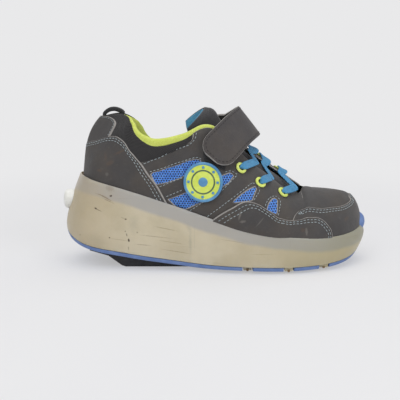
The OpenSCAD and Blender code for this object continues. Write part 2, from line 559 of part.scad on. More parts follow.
// Section of the tongue at place s, between two shares of its thickness
function tongue_section(s, lo, hi) =
    let (c = curve(tongue_line, s), y = unit(c[1]), up = unit(c[2] - y * (c[2] * y)), row = [for (i =
        [-4 : 4]) arch * i / 4],
         wide = c[3] / sin(arch), deep = c[4] / (1 - cos(arch)))
    [for (side = [0, 1], i = [0 : 8]) let (a = row[side == 0 ? i : 8 - i], t = c[5] * (side == 0 ? lo :
        hi), n = unit([sin(a) * deep, cos(a) * wide]))
        c[0] + y * (wide * sin(a) - n[0] * t) - up * (tongue_sink + deep * (1 - cos(a)) + n[1] * t)];
tongue_places = concat([0, 0.5], steps(1, 10.4, 18));
module tongue() color("#26262a") sweep([for (s = tongue_places) tongue_section(s, 0, 0.7)]);
module tongue_lining() color("#4a93b8") sweep([for (s = tongue_places) tongue_section(s, 0.88, 1.12)]);

// Eyelets: flanged rings through the quarters
eyelet_up = 0.55;
module eyelet(r) rotate_extrude($fn = 32) difference() {
    union() {
        translate([r * 0.55, eyelet_up]) square([r * 0.45, 0.9]);
        translate([r * 0.55, -overlay_t]) square([r * 0.12, overlay_t + eyelet_up + 0.2]);
    }
    translate([r, 0.9 + eyelet_up]) circle(r = 0.35, $fn = 16);
}
module eyelets() color("#d3e36b") for (e = concat(eyelets_out, eyelets_in)) on_upper(e)
    eyelet(eyelet_d / 2);

// Path helpers: key every point by its distance along the path, then list places between the points
function run(list, i) = i == 0 ? 0 : run(list, i - 1) + norm(list[i] - list[i - 1]);
function stations(list) = [for (i = [0 : len(list) - 1]) [run(list, i), list[i]]];
function places(path, n) = concat([for (i = [0 : len(path) - 2], j = [0 : n - 1]) path[i][0] + (path[i
    + 1][0] - path[i][0]) * j / n],
    [path[len(path) - 1][0]]);

// Lace: one flat ribbon that goes in and out of the eyelets, row by row
lace_up = eyelet_up + 0.9 + seam + lace_t / 2;
lace_under = 2.1;
// Where each row's bow stands in the throat, and how high over it
bow_w = [3.46, 3.18, 2.82];
bow_lift = [4, 1.2, 1];
function eye(e, d) = face(e[0], e[1], 0) + face_out(e[0], e[1]) * d;
// Direction from an eyelet to where its strand crosses the throat edge toward place w
function lead(e, w) =
    let (n = face_out(e[0], e[1]), g = crossing(e, w, 0)[0] - eye(e, 0))
    unit(g - n * (g * n));
function toward(e, f) = unit(eye(f, 0) - eye(e, 0));
// Points through one eyelet from above to below, leaving below along b: point, ribbon normal, width
function thread(e, w, b) =
    let (n = face_out(e[0], e[1]), a = lead(e, w), pinch = lace_w * 0.46)
    [[eye(e, lace_up) + a * 5, n, lace_w],
     [eye(e, lace_up + 0.15) + a * 2.5, n - a * 0.2, pinch * 1.15],
     [eye(e, 0.6) + a * 0.15, b - a, pinch],
     [eye(e, -overlay_t) + b * 0.3, b - a, pinch],
     [eye(e, -lace_under) + b * 2.4, n, pinch],
     [eye(e, -lace_under) + b * 5, n, pinch]];
function crossing(e, w, d) = let (u = e[0] + (w - e[0]) * 0.4) [face(u, 0.985, 0) + face_out(u,
    0.94) * d, face_out(u, 0.94), lace_w];
// Bow of row i over the throat, from the inner side to the outer side
function bow(i) = [crossing(eyelets_in[i], turns - bow_w[i], 1.9), [throat_mid(bow_w[i])
    + throat_up(bow_w[i]) * bow_lift[i], throat_up(bow_w[i]), lace_w],
    crossing(eyelets_out[i], bow_w[i], 1.9)];
function under_run(e, f) = let (u = (e[0] + f[0]) / 2, v = (e[1] + f[1]) / 2) [face(u, v,
    0) - face_out(u, v) * lace_under, face_out(u, v), lace_w / 2];
function tail(e, b) = [eye(e, -lace_under) + b * 8, face_out(e[0], e[1]), lace_w / 2];
lace_in = [for (i = [0 : 2]) toward(eyelets_in[min(i, 1)], eyelets_in[min(i, 1) + 1])];
lace_out = [for (i = [0 : 2]) toward(eyelets_out[min(i, 1)], eyelets_out[min(i, 1) + 1])];
lace_line = concat(
    [tail(eyelets_in[0], -lace_in[0])],
    flip(thread(eyelets_in[0], turns - bow_w[0], -lace_in[0])),
    bow(0),
    thread(eyelets_out[0], bow_w[0], lace_out[0]),
    [under_run(eyelets_out[0], eyelets_out[1])],
    flip(thread(eyelets_out[1], bow_w[1], -lace_out[0])),
    flip(bow(1)),
    thread(eyelets_in[1], turns - bow_w[1], lace_in[1]),
    [under_run(eyelets_in[1], eyelets_in[2])],
    flip(thread(eyelets_in[2], turns - bow_w[2], -lace_in[1])),
    bow(2),
    thread(eyelets_out[2], bow_w[2], lace_out[2]),
    [tail(eyelets_out[2], lace_out[2])]);
module lace() color("#4691be") {
    path = stations([for (p = lace_line) p[0]]);
    lean = [for (i = [0 : len(path) - 1]) [path[i][0], lace_line[i][1]]];
    width = [for (i = [0 : len(path) - 1]) [path[i][0], lace_line[i][2]]];
    sweep([for (k = places(path, 3))
        let (t = unit(curve(path, k + 0.1) - curve(path, k - 0.1)), n0 = curve(lean, k),
            n = unit(n0 - t * (n0 * t)) * lace_t / 2,
             y = cross(unit(n), t) * curve(width, k) / 2, c = curve(path, k))
        [c + y + n, c - y + n, c - y - n, c + y - n]]);
}

// Round side badge: rim, disc and a ring of raised dots
module side_badge() color("#d3e36b") on_upper(badge_at, seam) {
    rotate_extrude($fn = 64) polygon([[0, 0], [badge_d / 2 - 0.6, 0], [badge_d / 2, 0.5],
        [badge_d / 2 - 0.4, 1.3],
        [badge_d * 0.425, 1.3], [badge_d * 0.425, 0.9], [0, 0.9]]);
    for (a = [0 : 45 : 315]) rotate(a) translate([badge_d * 0.27, 0, 0.9]) cylinder(r = badge_d * 0.05,
        h = 0.6, $fn = 24);
}

// Instep strap: from the outer quarter over the instep to the inner quarter
strap_off = grip_t * 2 + layer_gap + seam * 2 + strap_t / 2 + 0.8;
strap_mid = [heel_x + sole_len * 0.603, 0, toe_h + (collar_h - toe_h) * 0.89];
strap_out = unit([0.784, 0, 0.62]);
strap_path = [[0, face(4.44, 0.655, strap_off)], [1, face(4.19, 0.865, strap_off + 0.4)], [2, strap_mid
    + [-8, -15, -5]], [3, strap_mid],
    [4, strap_mid + [-8, 15, -5]], [5, face(turns - 4.26, 0.88, 5.5)], [6, face(turns - 4.47, 0.62,
        strap_t / 2 + 1.6)]];
strap_lean = [[0, face_out(4.44, 0.655)], [1, face_out(4.19, 0.8)], [2, unit(face_out(4.19, 0.9)
    + strap_out)], [3, strap_out],
    [4, unit(face_out(turns - 4.26, 0.9) + strap_out)], [5, face_out(turns - 4.26, 0.8)], [6,
        face_out(turns - 4.47, 0.62)]];
strap_wide = [[0, 0.5], [0.12, 0.74], [0.3, 0.92], [0.6, 1], [1, 1], [6, 1]];
hinge_gap = 0.03;
// Section of the strap at place s: share of its width, offset from its middle, thickness
function strap_section(s, wide, off, t) =
    let (p = curve(strap_path, s), d = unit(curve(strap_path, min(s + 0.05, 6)) - curve(strap_path,
        max(s - 0.05, 0))), n0 = curve(strap_lean, s),
         n = unit(n0 - d * (n0 * d)), y = cross(n, d), w = strap_w / 2 * wide)
    [p + y * w + n * (off + t / 2), p - y * w + n * (off + t / 2), p - y * w + n * (off - t / 2), p
        + y * w + n * (off - t / 2)];
module strap_flap() color("#474547")
    sweep([for (s = concat([0, 0.06, 0.15, 0.3, 0.5], steps(0.75, 3 - hinge_gap, 9))) strap_section(s,
        curve(strap_wide, s), 0, strap_t)]);
module strap_base() color("#474547")
    sweep([for (s = steps(3 + hinge_gap, 6, 12)) strap_section(s, 1, 0, strap_t)]);
module hook_patch() color("#1c1c1e")
    sweep([for (s = steps(0.1, 0.9, 5)) strap_section(s, 0.55, -strap_t / 2 - seam / 2 - grip_t / 2,
        grip_t)]);
patch_us = steps(4.22, 4.72, 6);
module loop_patch() color("#1c1c1e") panel(patch_us, [for (u = patch_us) 0.62 + (u - 4.22) * 0.16],
    [for (u = patch_us) 0.8 + (u - 4.4) * 0.1], 4,
    layer_gap + grip_t, layer_gap);

// Wheel housing: open-bottomed box with a sloping roof
module wheel_housing() color("#202022") difference() {
    house_block(0, 0, house_y + house_wall);
    house_block(-house_wall, cut, house_y);
    along_y(pivot_x, pivot_z, -house_y - cut) cylinder(d = pivot_d + 0.04, h = 2 * (house_y + cut));
    stem_axis(house_back - 5) cylinder(r = stem_r + run_fit, h = 5 + house_wall + 2);
    for (p = screw_xy) translate([p[0], p[1], roof_in - 5]) cylinder(r = screw_r + run_fit, h = 20);
}
module housing_screws() color("silver") for (p = screw_xy) translate([p[0], p[1], roof_in]) {
    cylinder(r = screw_r, h = house_wall + screw_up);
    translate([0, 0, -2]) cylinder(r = screw_r * 1.9, h = 2);
}
module pivot_pin() color("silver") along_y(pivot_x, pivot_z, -house_y - house_wall) cylinder(d = pivot_d,
    h = 2 * (house_y + house_wall));

// Plate between two round ends, in the plane of X and Z
module link_plate(r0, r1, y) {
    a = acos((r0 - r1) / arm_len);
    e0 = (r0 - 0.3) * [cos(a), sin(a)];
    e1 = [arm_len, 0] + (r1 - 0.3) * [cos(a), sin(a)];
    along_y(pivot_x, pivot_z, y) rotate(arm_angle) {
        linear_extrude(plate_t) {
            circle(r = r0);
            translate([arm_len, 0]) circle(r = r1);
            polygon([e0, e1, [e1[0], -e1[1]], [e0[0], -e0[1]]]);
        }
    }
}
module swing_arm() color("#9a9ca0") difference() {
    union() {
        for (y = [-arm_y - plate_t, arm_y]) link_plate(9, 7.5, y);
        along_y(pivot_x, pivot_z, -arm_y - plate_t / 2) cylinder(r = sleeve_r, h = 2 * arm_y + plate_t);
        along_y(pivot_x, pivot_z, -4.5) cylinder(r = cam_r, h = 9);
    }
    along_y(pivot_x, pivot_z, -house_y) cylinder(r = pivot_d / 2 + run_fit, h = 2 * house_y);
    along_y(axle_x, axle_z, -house_y) cylinder(r = axle_d / 2 + 0.02, h = 2 * house_y);
    for (a = [-30, -30 - swing]) along_y(pivot_x, pivot_z, -5) rotate(a) translate([cam_r - 2.5, -2.2,
        0]) cube([5, 4.4, 10]);
}

// Wound spring as one tube, with the least gap between its turns printed
function coil(r, wire, pitch, turn_n, sides) = [for (i = [0 : turn_n * 8]) let (a = i * 45, c = [cos(a),
    sin(a), 0], z = pitch * i / 8)
    [for (j = [0 : sides - 1]) let (b = -360 * j / sides) c * (r + wire / 2 * cos(b)) + [0, 0, z
        + wire / 2 * sin(b)]]];
module arm_spring() color("silver") along_y(pivot_x, pivot_z, 4.5 + coil_wire / 2 + 0.35)
    sweep(coil(coil_r, coil_wire, coil_pitch, coil_turns, 6));
module button_spring() color("silver") stem_axis(button_tip + 3.2 + spring_wire)
    sweep(coil(spring_r, spring_wire, (button_seat - button_tip - 3.2 - 2 * spring_wire) / spring_turns,
        spring_turns, 6));
echo(arm_spring_gap = coil_pitch - coil_wire);
echo(button_spring_gap = (button_seat - button_tip - 3.2 - 2 * spring_wire) / spring_turns - spring_wire);

module wheel_axle() color("silver") {
    along_y(axle_x, axle_z, -arm_y - plate_t) cylinder(d = axle_d, h = 2 * (arm_y + plate_t) + head_t);
    along_y(axle_x, axle_z, -arm_y - plate_t - head_t) cylinder(d = axle_d * 1.6, h = head_t);
}
module axle_nut() color("silver") along_y(axle_x, axle_z, arm_y + plate_t) difference() {
    cylinder(d = axle_d * 1.7, h = head_t, $fn = 6);
    translate([0, 0, -1]) cylinder(d = axle_d + 0.04, h = head_t + 2);
}
module tube(ro, ri, h) difference() {
    cylinder(r = ro, h = h);
    translate([0, 0, -1]) cylinder(r = ri, h = h + 2);
}
module both_sides(y) for (s = [y, -y - bearing_w]) along_y(axle_x, axle_z, s) children();
washer_t = arm_y - bearing_y - bearing_w;
module axle_washers() color("silver") for (y = [bearing_y + bearing_w, -arm_y]) along_y(axle_x, axle_z,
    y) tube(axle_d / 2 + 1.3, axle_d / 2 + 0.02, washer_t);
module bearing_spacer() color("silver") along_y(axle_x, axle_z, -bearing_y) tube(axle_d / 2 + 1.3,
    axle_d / 2 + 0.02, 2 * bearing_y);
module race() translate([0, 0, bearing_w / 2]) rotate_extrude() translate([race_r, 0])
    circle(r = ball_r + run_fit, $fn = 24);
module bearing_inner_rings() color("gainsboro") both_sides(bearing_y) difference() {
    tube(race_r - ball_r * 0.55, axle_d / 2 + 0.02, bearing_w);
    race();
}
module bearing_outer_rings() color("gainsboro") both_sides(bearing_y) difference() {
    tube(bearing_d / 2, race_r + ball_r * 0.55, bearing_w);
    race();
}
module bearing_balls() color("white") both_sides(bearing_y) for (i = [0 : ball_n - 1])
    rotate(360 * i / ball_n) translate([race_r, 0, bearing_w / 2]) sphere(r = ball_r, $fn = 24);
module wheel_hub() color("#303034") along_y(axle_x, axle_z, 0) rotate_extrude() polygon([
    [bearing_d / 2 - 1.6, -bearing_y], [bearing_d / 2 + 0.02, -bearing_y], [bearing_d / 2 + 0.02,
        -wheel_w / 2 + 0.8],
    [hub_r, -wheel_w / 2 + 0.8], [hub_r, -3], [hub_r + 1.5, -2], [hub_r + 1.5, 2], [hub_r, 3], [hub_r,
        wheel_w / 2 - 0.8],
    [bearing_d / 2 + 0.02, wheel_w / 2 - 0.8], [bearing_d / 2 + 0.02, bearing_y], [bearing_d / 2 - 1.6,
        bearing_y]]);
tyre_round = 2.4;
module wheel_tyre() color("#e8e4d8") along_y(axle_x, axle_z, 0) rotate_extrude() difference() {
    union() {
        translate([hub_r + 0.02, -wheel_w / 2]) square([wheel_r - tyre_round - hub_r - 0.02, wheel_w]);
        translate([wheel_r - tyre_round - 0.5, -wheel_w / 2 + tyre_round]) square([tyre_round + 0.5,
            wheel_w - 2 * tyre_round]);
        for (s = [-1, 1]) translate([wheel_r - tyre_round, s * (wheel_w / 2 - tyre_round)])
            circle(r = tyre_round);
    }
    polygon([[0, -3], [hub_r + 0.02, -3], [hub_r + 1.52, -2], [hub_r + 1.52, 2], [hub_r + 0.02, 3], [0,
        3]]);
}

// Release button: hollow cap with an offset stem
module release_button() color("#eeeeea") {
    difference() {
        button_axis(button_tip) rotate_extrude() union() {
            translate([0, 3]) square([button_r, button_len - 3]);
            square([button_r - 3, 3.5]);
            translate([button_r - 3, 3]) circle(r = 3);
        }
        button_axis(button_tip + 3.2) cylinder(r = button_r - 1.2, h = button_len);
    }
    stem_axis(button_tip + 3) cylinder(r = stem_r, h = house_back + house_wall + 2.5 - button_tip - 3);
}
latch_back = house_back + house_wall + 2.5;
latch_front = pivot_x + sqrt(pow(cam_r, 2) - pow(latch_z - slide_gap - cam_r + 4 - pivot_z, 2)) ;
hook_x = pivot_x + cam_r - 0.7;
module latch_slide() color("#303034") {
    translate([latch_back, -5, latch_z]) cube([hook_x + 3.5 - latch_back, 10, latch_t]);
    translate([hook_x, -1.8, latch_z - 5.5]) cube([3.5, 3.6, 5.5 + 0.5]);
}

midsole();
outsole_heel();
outsole_pads();
outsole_toe();
lasting_board();
insole();
lining();
side_mesh_outer();
side_mesh_inner();
toe_cap();
toe_bumper();
vamp();
mudguard_outer();
mudguard_inner();
quarter_outer();
quarter_inner();
heel_counter();
collar_outer();
collar_inner();
heel_tab();
pull_loop();
tongue();
tongue_lining();
eyelets();
lace();
side_badge();
loop_patch();
strap_base();
strap_flap();
hook_patch();
wheel_housing();
housing_screws();
pivot_pin();
swing_arm();
arm_spring();
wheel_axle();
axle_nut();
axle_washers();
bearing_inner_rings();
bearing_spacer();
wheel_hub();
wheel_tyre();
bearing_outer_rings();
bearing_balls();
release_button();
latch_slide();
button_spring();
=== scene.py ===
import json
import math
from collections import Counter

import bmesh
import bpy
import numpy as np
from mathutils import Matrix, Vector, geometry
from mathutils.bvhtree import BVHTree


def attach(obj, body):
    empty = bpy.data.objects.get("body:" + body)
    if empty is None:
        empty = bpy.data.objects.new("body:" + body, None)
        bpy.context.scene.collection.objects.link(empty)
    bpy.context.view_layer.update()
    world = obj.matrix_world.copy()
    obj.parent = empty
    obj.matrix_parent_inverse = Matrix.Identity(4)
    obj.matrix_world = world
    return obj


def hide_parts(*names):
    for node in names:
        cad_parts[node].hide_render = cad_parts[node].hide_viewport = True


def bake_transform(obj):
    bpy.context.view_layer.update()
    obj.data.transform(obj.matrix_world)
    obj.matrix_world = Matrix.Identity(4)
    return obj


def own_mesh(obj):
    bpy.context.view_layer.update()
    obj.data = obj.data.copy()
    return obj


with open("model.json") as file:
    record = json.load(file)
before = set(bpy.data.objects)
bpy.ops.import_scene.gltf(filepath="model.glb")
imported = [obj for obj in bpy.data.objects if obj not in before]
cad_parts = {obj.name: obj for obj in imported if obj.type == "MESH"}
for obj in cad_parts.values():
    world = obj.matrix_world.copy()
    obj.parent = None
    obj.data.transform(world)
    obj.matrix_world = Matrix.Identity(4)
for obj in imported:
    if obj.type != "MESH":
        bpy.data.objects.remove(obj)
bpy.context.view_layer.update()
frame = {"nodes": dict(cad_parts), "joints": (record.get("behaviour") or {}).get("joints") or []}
MM = 0.001

# Driving sizes in millimetres, the same as the construction's
SOLE_LEN, SOLE_W, HEEL_H, BALL_H = 232.0, 86.0, 69.5, 26.0
TREAD_T, LUG_H, FLEX_GAP, LIP_T = 3.0, 1.2, 8.0, 1.3
COLLAR_H, TOE_H, BOARD_T, INSOLE_T = 115.3, 54.5, 2.0, 4.0
OVERLAY_T, INNER_D, SEAM, GLUE = 1.2, 5.0, 0.3, 0.36
TONGUE_T, BADGE_D, LACE_W, LACE_T = 5.0, 29.0, 5.5, 0.8
STRAP_W, STRAP_T, GRIP_T, LOOP_R = 27.0, 2.0, 1.0, 8.0
HEEL_X = -SOLE_LEN / 2

# Places of the joints, in millimetres
JOINT_AT = {j["name"]: np.array(j["pos_m"]) / MM for j in frame["joints"]}

# Sole from above, from the toe round by the outer side: share of the length, share of the half width
PLAN = np.array([[1, 0.14], [0.945, -0.42], [0.86, -0.755], [0.72, -0.975], [0.55, -0.965], [0.38, -0.83],
                 [0.2, -0.775], [0.065, -0.6], [0, 0], [0.065, 0.6], [0.2, 0.765], [0.38, 0.755],
                 [0.55, 0.875], [0.7, 0.995], [0.86, 0.9], [0.957, 0.6]])
TURNS = len(PLAN)
HEEL = TURNS / 2

# Sole from heel 0 to toe 1, as rows of a place and a value
WEDGE = [[0, 1], [0.1, 0.93], [0.23, 0.76], [0.34, 0.575], [0.48, 0.33], [0.6, 0.15], [0.72, 0.046],
         [0.85, -0.01], [0.93, 0], [0.97, 0.02], [1, 0.06]]
EDGE = [[0, 24], [0.02, 20.5], [0.05, 17.5], [0.1, 14.5], [0.2, 11], [0.3, 7.6], [0.45, 3.6], [0.58, 2.4],
        [0.7, 1.9], [0.8, 2], [0.86, 2.6], [0.92, 4], [0.97, 6.2], [1, 10]]
TOP_IN = [[0, 12], [0.05, 9], [0.15, 5], [0.4, 3], [0.7, 2], [1, 2]]
FOOT_IN = [[0, 1], [0.1, 1.5], [0.5, 1.5], [0.85, 2], [0.95, 3.5], [1, 5.5]]
BELLY_AT = [[0, 0.15], [0.1, 0.25], [0.5, 0.35], [0.8, 0.5], [1, 0.7]]
ROLL_IN = [[0, 16], [0.1, 14], [0.5, 13], [0.9, 13], [1, 12]]
WELL = [[0, 14], [0.1, 12.5], [0.24, 7.9], [0.265, 6.4], [0.34, 7], [0.48, 7.9], [0.6, 9], [0.72, 9.5],
        [0.85, 8.5], [0.93, 9.2], [1, 9.6]]

# Top line of the upper: place round the sole, share of the length, y, share of the rise, slant in degrees
TOP_LINE = [[0, 0.905, 5, 0, 88], [1, 0.871, 4.5, 0.016, 90], [2, 0.828, 4, 0.03, 90],
            [2.5, 0.789, 3.5, 0.049, 86], [2.75, 0.765, -8, 0, 72], [3, 0.728, -13.5, 0.061, 62],
            [3.4, 0.655, -14.5, 0.276, 58], [3.75, 0.595, -16, 0.452, 54], [4.1, 0.534, -18, 0.674, 46],
            [4.4, 0.491, -20, 0.819, 34], [4.7, 0.448, -23, 0.828, 22], [5, 0.388, -26.5, 0.695, 8],
            [5.5, 0.297, -27.5, 0.623, 5], [5.9, 0.242, -25.5, 0.742, 8], [6.2, 0.225, -23, 0.88, 14],
            [6.6, 0.212, -17.5, 0.97, 22], [7.2, 0.181, -9.5, 1, 32], [8, 0.131, 0, 0.969, 46],
            [8.8, 0.181, 9.5, 0.99, 32], [9.4, 0.22, 17.5, 0.905, 22], [9.8, 0.235, 23, 0.79, 14],
            [10.1, 0.25, 24.9, 0.66, 8], [10.5, 0.293, 24.9, 0.55, 5], [11, 0.384, 23.6, 0.575, 8],
            [11.3, 0.448, 21.8, 0.71, 22], [11.6, 0.491, 18.5, 0.79, 40], [11.9, 0.534, 12, 0.73, 70],
            [12.25, 0.595, 6.5, 0.559, 94], [12.6, 0.655, 4, 0.395, 98], [13, 0.731, 4, 0.197, 98],
            [13.25, 0.769, 5, 0.099, 92], [13.5, 0.789, 3.5, 0.049, 86], [14, 0.828, 4, 0.03, 90],
            [15, 0.871, 4.5, 0.016, 90], [16, 0.905, 5, 0, 88]]
BASE_LEAN = [[0, 4], [2, 8], [4, 6], [6, 0], [7, -6], [8, -9]]
FULL_LOW, FULL_TOP = 0.45, 0.38

# Seam lines, eyelets and badge on the upper: place round the sole, share of the height
COUNTER = [[5.15, 0], [5.26, 0.13], [5.38, 0.3], [5.53, 0.47], [5.69, 0.64], [5.86, 0.72], [6.1, 0.76],
           [6.38, 0.75], [6.63, 0.73], [7.02, 0.67], [7.39, 0.6], [8, 0.54]]
GUARD_BACK = [[3.17, 0.35], [3.35, 0.39], [3.56, 0.42], [3.7, 0.41], [3.83, 0.37], [4.03, 0.25],
              [4.4, 0.06], [4.5, 0]]
VAMP_LOW = [[0, 0.67], [0.39, 0.6], [0.84, 0.46], [1.3, 0.42], [2.18, 0.4], [2.59, 0.455], [2.72, 0.5]]
QUARTER_TOP = [[5.74, 0.62], [5.69, 0.66], [5.53, 0.78], [5.39, 0.84], [5.24, 0.9], [5.09, 0.93],
               [4.93, 0.93], [4.85, 0.92], [4.83, 0.97], [4.84, 1]]
COLLAR_LOW = [[4.78, 0.9], [4.84, 0.88], [4.93, 0.87], [5.09, 0.87], [5.24, 0.84], [5.39, 0.78], [5.53, 0.72],
              [5.75, 0.56], [5.86, 0.66], [6.1, 0.7], [6.38, 0.69], [6.63, 0.67], [7.02, 0.61], [7.39, 0.54],
              [8, 0.48]]
EYES_OUT = [[3.88, 0.77], [3.52, 0.75], [3.1, 0.85]]
EYES_IN = [[12.18, 0.86], [12.54, 0.86], [12.9, 0.87]]
BADGE_AT = [4.58, 0.39]

# Camera of the photograph, in millimetres and pixels
PICTURE, PITCH, CAM_D, CAM_X, CAM_Z = 400, math.radians(11.0), 540.0, -12.8, 47.5
PX_MM = 0.776 * 232 / 233
FPX = CAM_D / PX_MM
FWD = np.array([0, math.cos(PITCH), -math.sin(PITCH)])
RIGHT = np.array([1.0, 0, 0])
UP = np.cross(RIGHT, FWD)
CAM = np.array([CAM_X, 0, CAM_Z]) - CAM_D * FWD


# Curves and vectors

def curve(table, x):
    """Smooth curve through rows of a place and its values."""
    t, x = np.asarray(table, float), np.asarray(x, float)
    key, val = t[:, 0], t[:, 1:]
    n = len(key)
    a, b = np.maximum(np.arange(n) - 1, 0), np.minimum(np.arange(n) + 1, n - 1)
    slope = (val[b] - val[a]) / (key[b] - key[a])[:, None]
    i = np.clip(np.searchsorted(key, x, side="right") - 1, 0, n - 2)
    h = (key[i + 1] - key[i])[..., None]
    k = np.clip((x[..., None] - key[i][..., None]) / h, 0, 1)
    k2, k3 = k * k, k * k * k
    out = (val[i] * (2 * k3 - 3 * k2 + 1) + slope[i] * h * (k3 - 2 * k2 + k)
           + val[i + 1] * (3 * k2 - 2 * k3) + slope[i + 1] * h * (k3 - k2))
    return out[..., 0] if val.shape[1] == 1 else out


def unit(v):
    v = np.asarray(v, float)
    return v / np.maximum(np.linalg.norm(v, axis=-1, keepdims=True), 1e-12)


def square(v, t):
    """Unit vector along v, turned to stand square to t."""
    return unit(v - t * np.sum(v * t, -1, keepdims=True))


def raised(q, z):
    return np.concatenate([q, z[..., None]], -1)


def run_of(p):
    """Length along a row of points, up to each of them."""
    return np.concatenate([[0], np.cumsum(np.linalg.norm(np.diff(p, axis=0), axis=1))])


def sample(at, run, p):
    """Points at given lengths along a row of points."""
    return np.stack([np.interp(at, run, column) for column in p.T], 1)


def along(points, step):
    """Smooth even path through points of any dimension."""
    p = np.asarray(points, float)
    run = run_of(p)
    n = max(2, int(round(run[-1] / step)) + 1)
    fine = curve(np.column_stack([run, p]), np.linspace(0, run[-1], n * 4))
    run = run_of(fine)
    return sample(np.linspace(0, run[-1], n), run, fine)


def grid_faces(n, m, wrap_n=False, wrap_m=False):
    """Quads of n rows of m points."""
    out = []
    for i in range(n if wrap_n else n - 1):
        for j in range(m if wrap_m else m - 1):
            row, next_row, next_j = i * m, (i + 1) % n * m, (j + 1) % m
            out.append((row + j, next_row + j, next_row + next_j, row + next_j))
    return out


# Shape of the sole and the upper

def share(x):
    return (x - HEEL_X) / SOLE_LEN


def ring_u(u):
    return np.asarray(u, float) % TURNS


def fold_u(u):
    r = ring_u(u)
    return np.minimum(r, TURNS - r)


def plan(u):
    """Outline of the sole at place u: x, y and the way out."""
    r = ring_u(u)
    i = np.floor(r).astype(int)
    k = (r - i)[..., None]
    pts = np.stack([HEEL_X + SOLE_LEN * PLAN[:, 0], SOLE_W / 2 * PLAN[:, 1]], 1)
    a, b, c, d = (pts[(i + j) % TURNS] for j in (-1, 0, 1, 2))
    e1, e2, e3 = c - a, 2 * a - 5 * b + 4 * c - d, 3 * b - a - 3 * c + d
    p = b + (e1 * k + e2 * k * k + e3 * k ** 3) / 2
    t = unit(e1 + 2 * e2 * k + 3 * e3 * k * k)
    return np.concatenate([p, -t[..., 1:2], t[..., 0:1]], -1)


def inset(p, d):
    return p[..., :2] - p[..., 2:] * np.asarray(d)[..., None]


def lip_z(s):
    return BALL_H + (HEEL_H - BALL_H) * curve(WEDGE, s)


def floor_z(s):
    return lip_z(s) - curve(WELL, s)


def wall(u, t, d=0.0):
    """Point on the sole's wall at share t of its height, moved in by d."""
    p = plan(u)
    s = share(p[..., 0])
    w = curve(BELLY_AT, s)
    t = np.broadcast_to(t, s.shape)
    o = np.where(t < w, curve(FOOT_IN, s) * np.maximum(1 - t / w, 0) ** 2,
                 curve(TOP_IN, s) * np.maximum((t - w) / (1 - w), 0) ** 1.4)
    e = curve(EDGE, s)
    return raised(inset(p, o + d), e + (lip_z(s) - e) * t)


def wall_up(u, h):
    s = share(plan(u)[..., 0])
    return wall(u, h / (lip_z(s) - curve(EDGE, s)))


def under(u, k, h):
    """Point on the underside, rolled in by share k and raised by h."""
    p = plan(u)
    s = share(p[..., 0])
    e = curve(EDGE, s)
    low = np.maximum(LUG_H, e - 2.6)
    return raised(inset(p, curve(FOOT_IN, s) + curve(ROLL_IN, s) * k), low + (e - low) * (1 - k) ** 1.6 + h)


def bed(u, d, h):
    """Point on the floor of the well, d inside its edge and raised by h."""
    p = plan(u)
    q = inset(p, curve(TOP_IN, share(p[..., 0])) + d)
    return raised(q, floor_z(share(q[..., 0])) + h)


def face(u, v, d=0.0):
    """Point on the upper at place u and share v of its height, moved out by d."""
    u, v, d = np.broadcast_arrays(np.asarray(u, float), np.asarray(v, float), np.asarray(d, float))
    p = plan(u)
    s = share(p[..., 0])
    b = raised(inset(p, curve(TOP_IN, s) + LIP_T + SEAM), floor_z(s) + BOARD_T + SEAM)
    r = curve(TOP_LINE, ring_u(u))
    top = np.stack([HEEL_X + SOLE_LEN * r[..., 0], r[..., 1], TOE_H + (COLLAR_H - TOE_H) * r[..., 2]], -1)
    g = top - b
    run = np.hypot(g[..., 0], g[..., 1])
    size = np.hypot(run, g[..., 2])[..., None]
    lean, tip = np.radians(curve(BASE_LEAN, fold_u(u))), np.radians(r[..., 3])
    e = np.stack([run, g[..., 2]], -1)
    c1 = FULL_LOW * size * np.stack([-np.sin(lean), np.cos(lean)], -1)
    c2 = e - FULL_TOP * size * np.stack([np.sin(tip), np.cos(tip)], -1)
    v = v[..., None]
    w = 1 - v
    q = 3 * w * w * v * c1 + 3 * w * v * v * c2 + v ** 3 * e
    t = unit(3 * w * w * c1 + 6 * w * v * (c2 - c1) + 3 * v * v * (e - c2))
    flat = g[..., :2] / run[..., None] * (q[..., 0] - t[..., 1] * d)[..., None]
    return raised(b[..., :2] + flat, b[..., 2] + q[..., 1] + t[..., 0] * d)


def face_out(u, v):
    """The way out of the upper."""
    e = 0.02
    n = unit(np.cross(face(u, v + e) - face(u, v - e), face(u + e, v) - face(u - e, v)))
    flip = np.sum(n * (face(u, v, 1.0) - face(u, v)), -1) < 0
    return np.where(flip[..., None], -n, n)


def mirror(uv):
    uv = np.asarray(uv, float)
    return np.stack([TURNS - uv[:, 0], uv[:, 1]], 1)


# Outer side of the upper as a surface that picture points are carried onto
side_u, side_v = np.meshgrid(np.arange(-1.5, 8.6, 0.05), np.arange(0, 1.021, 0.02), indexing="ij")
side_pts = face(side_u, side_v).reshape(-1, 3)
side_uv = np.stack([side_u, side_v], -1).reshape(-1, 2)
side_tris = [t for a, b, c, d in grid_faces(*side_u.shape) for t in ((a, b, c), (a, c, d))]
SIDE = BVHTree.FromPolygons([Vector(p) for p in side_pts], side_tris)


def ray(x, y):
    return FWD + RIGHT * (x - PICTURE / 2) / FPX - UP * (y - PICTURE / 2) / FPX


def cast(pixels):
    """Places (u, v) on the outer side that picture points fall on."""
    out = []
    for x, y in pixels:
        hit, _, index, _ = SIDE.ray_cast(Vector(CAM), Vector(ray(x, y)))
        if hit is None:
            continue
        a, b, c = side_pts[list(side_tris[index])]
        m = np.linalg.lstsq(np.stack([b - a, c - a], 1), np.array(hit) - a, rcond=None)[0]
        ua, ub, uc = side_uv[list(side_tris[index])]
        out.append(ua + m[0] * (ub - ua) + m[1] * (uc - ua))
    return np.array(out)


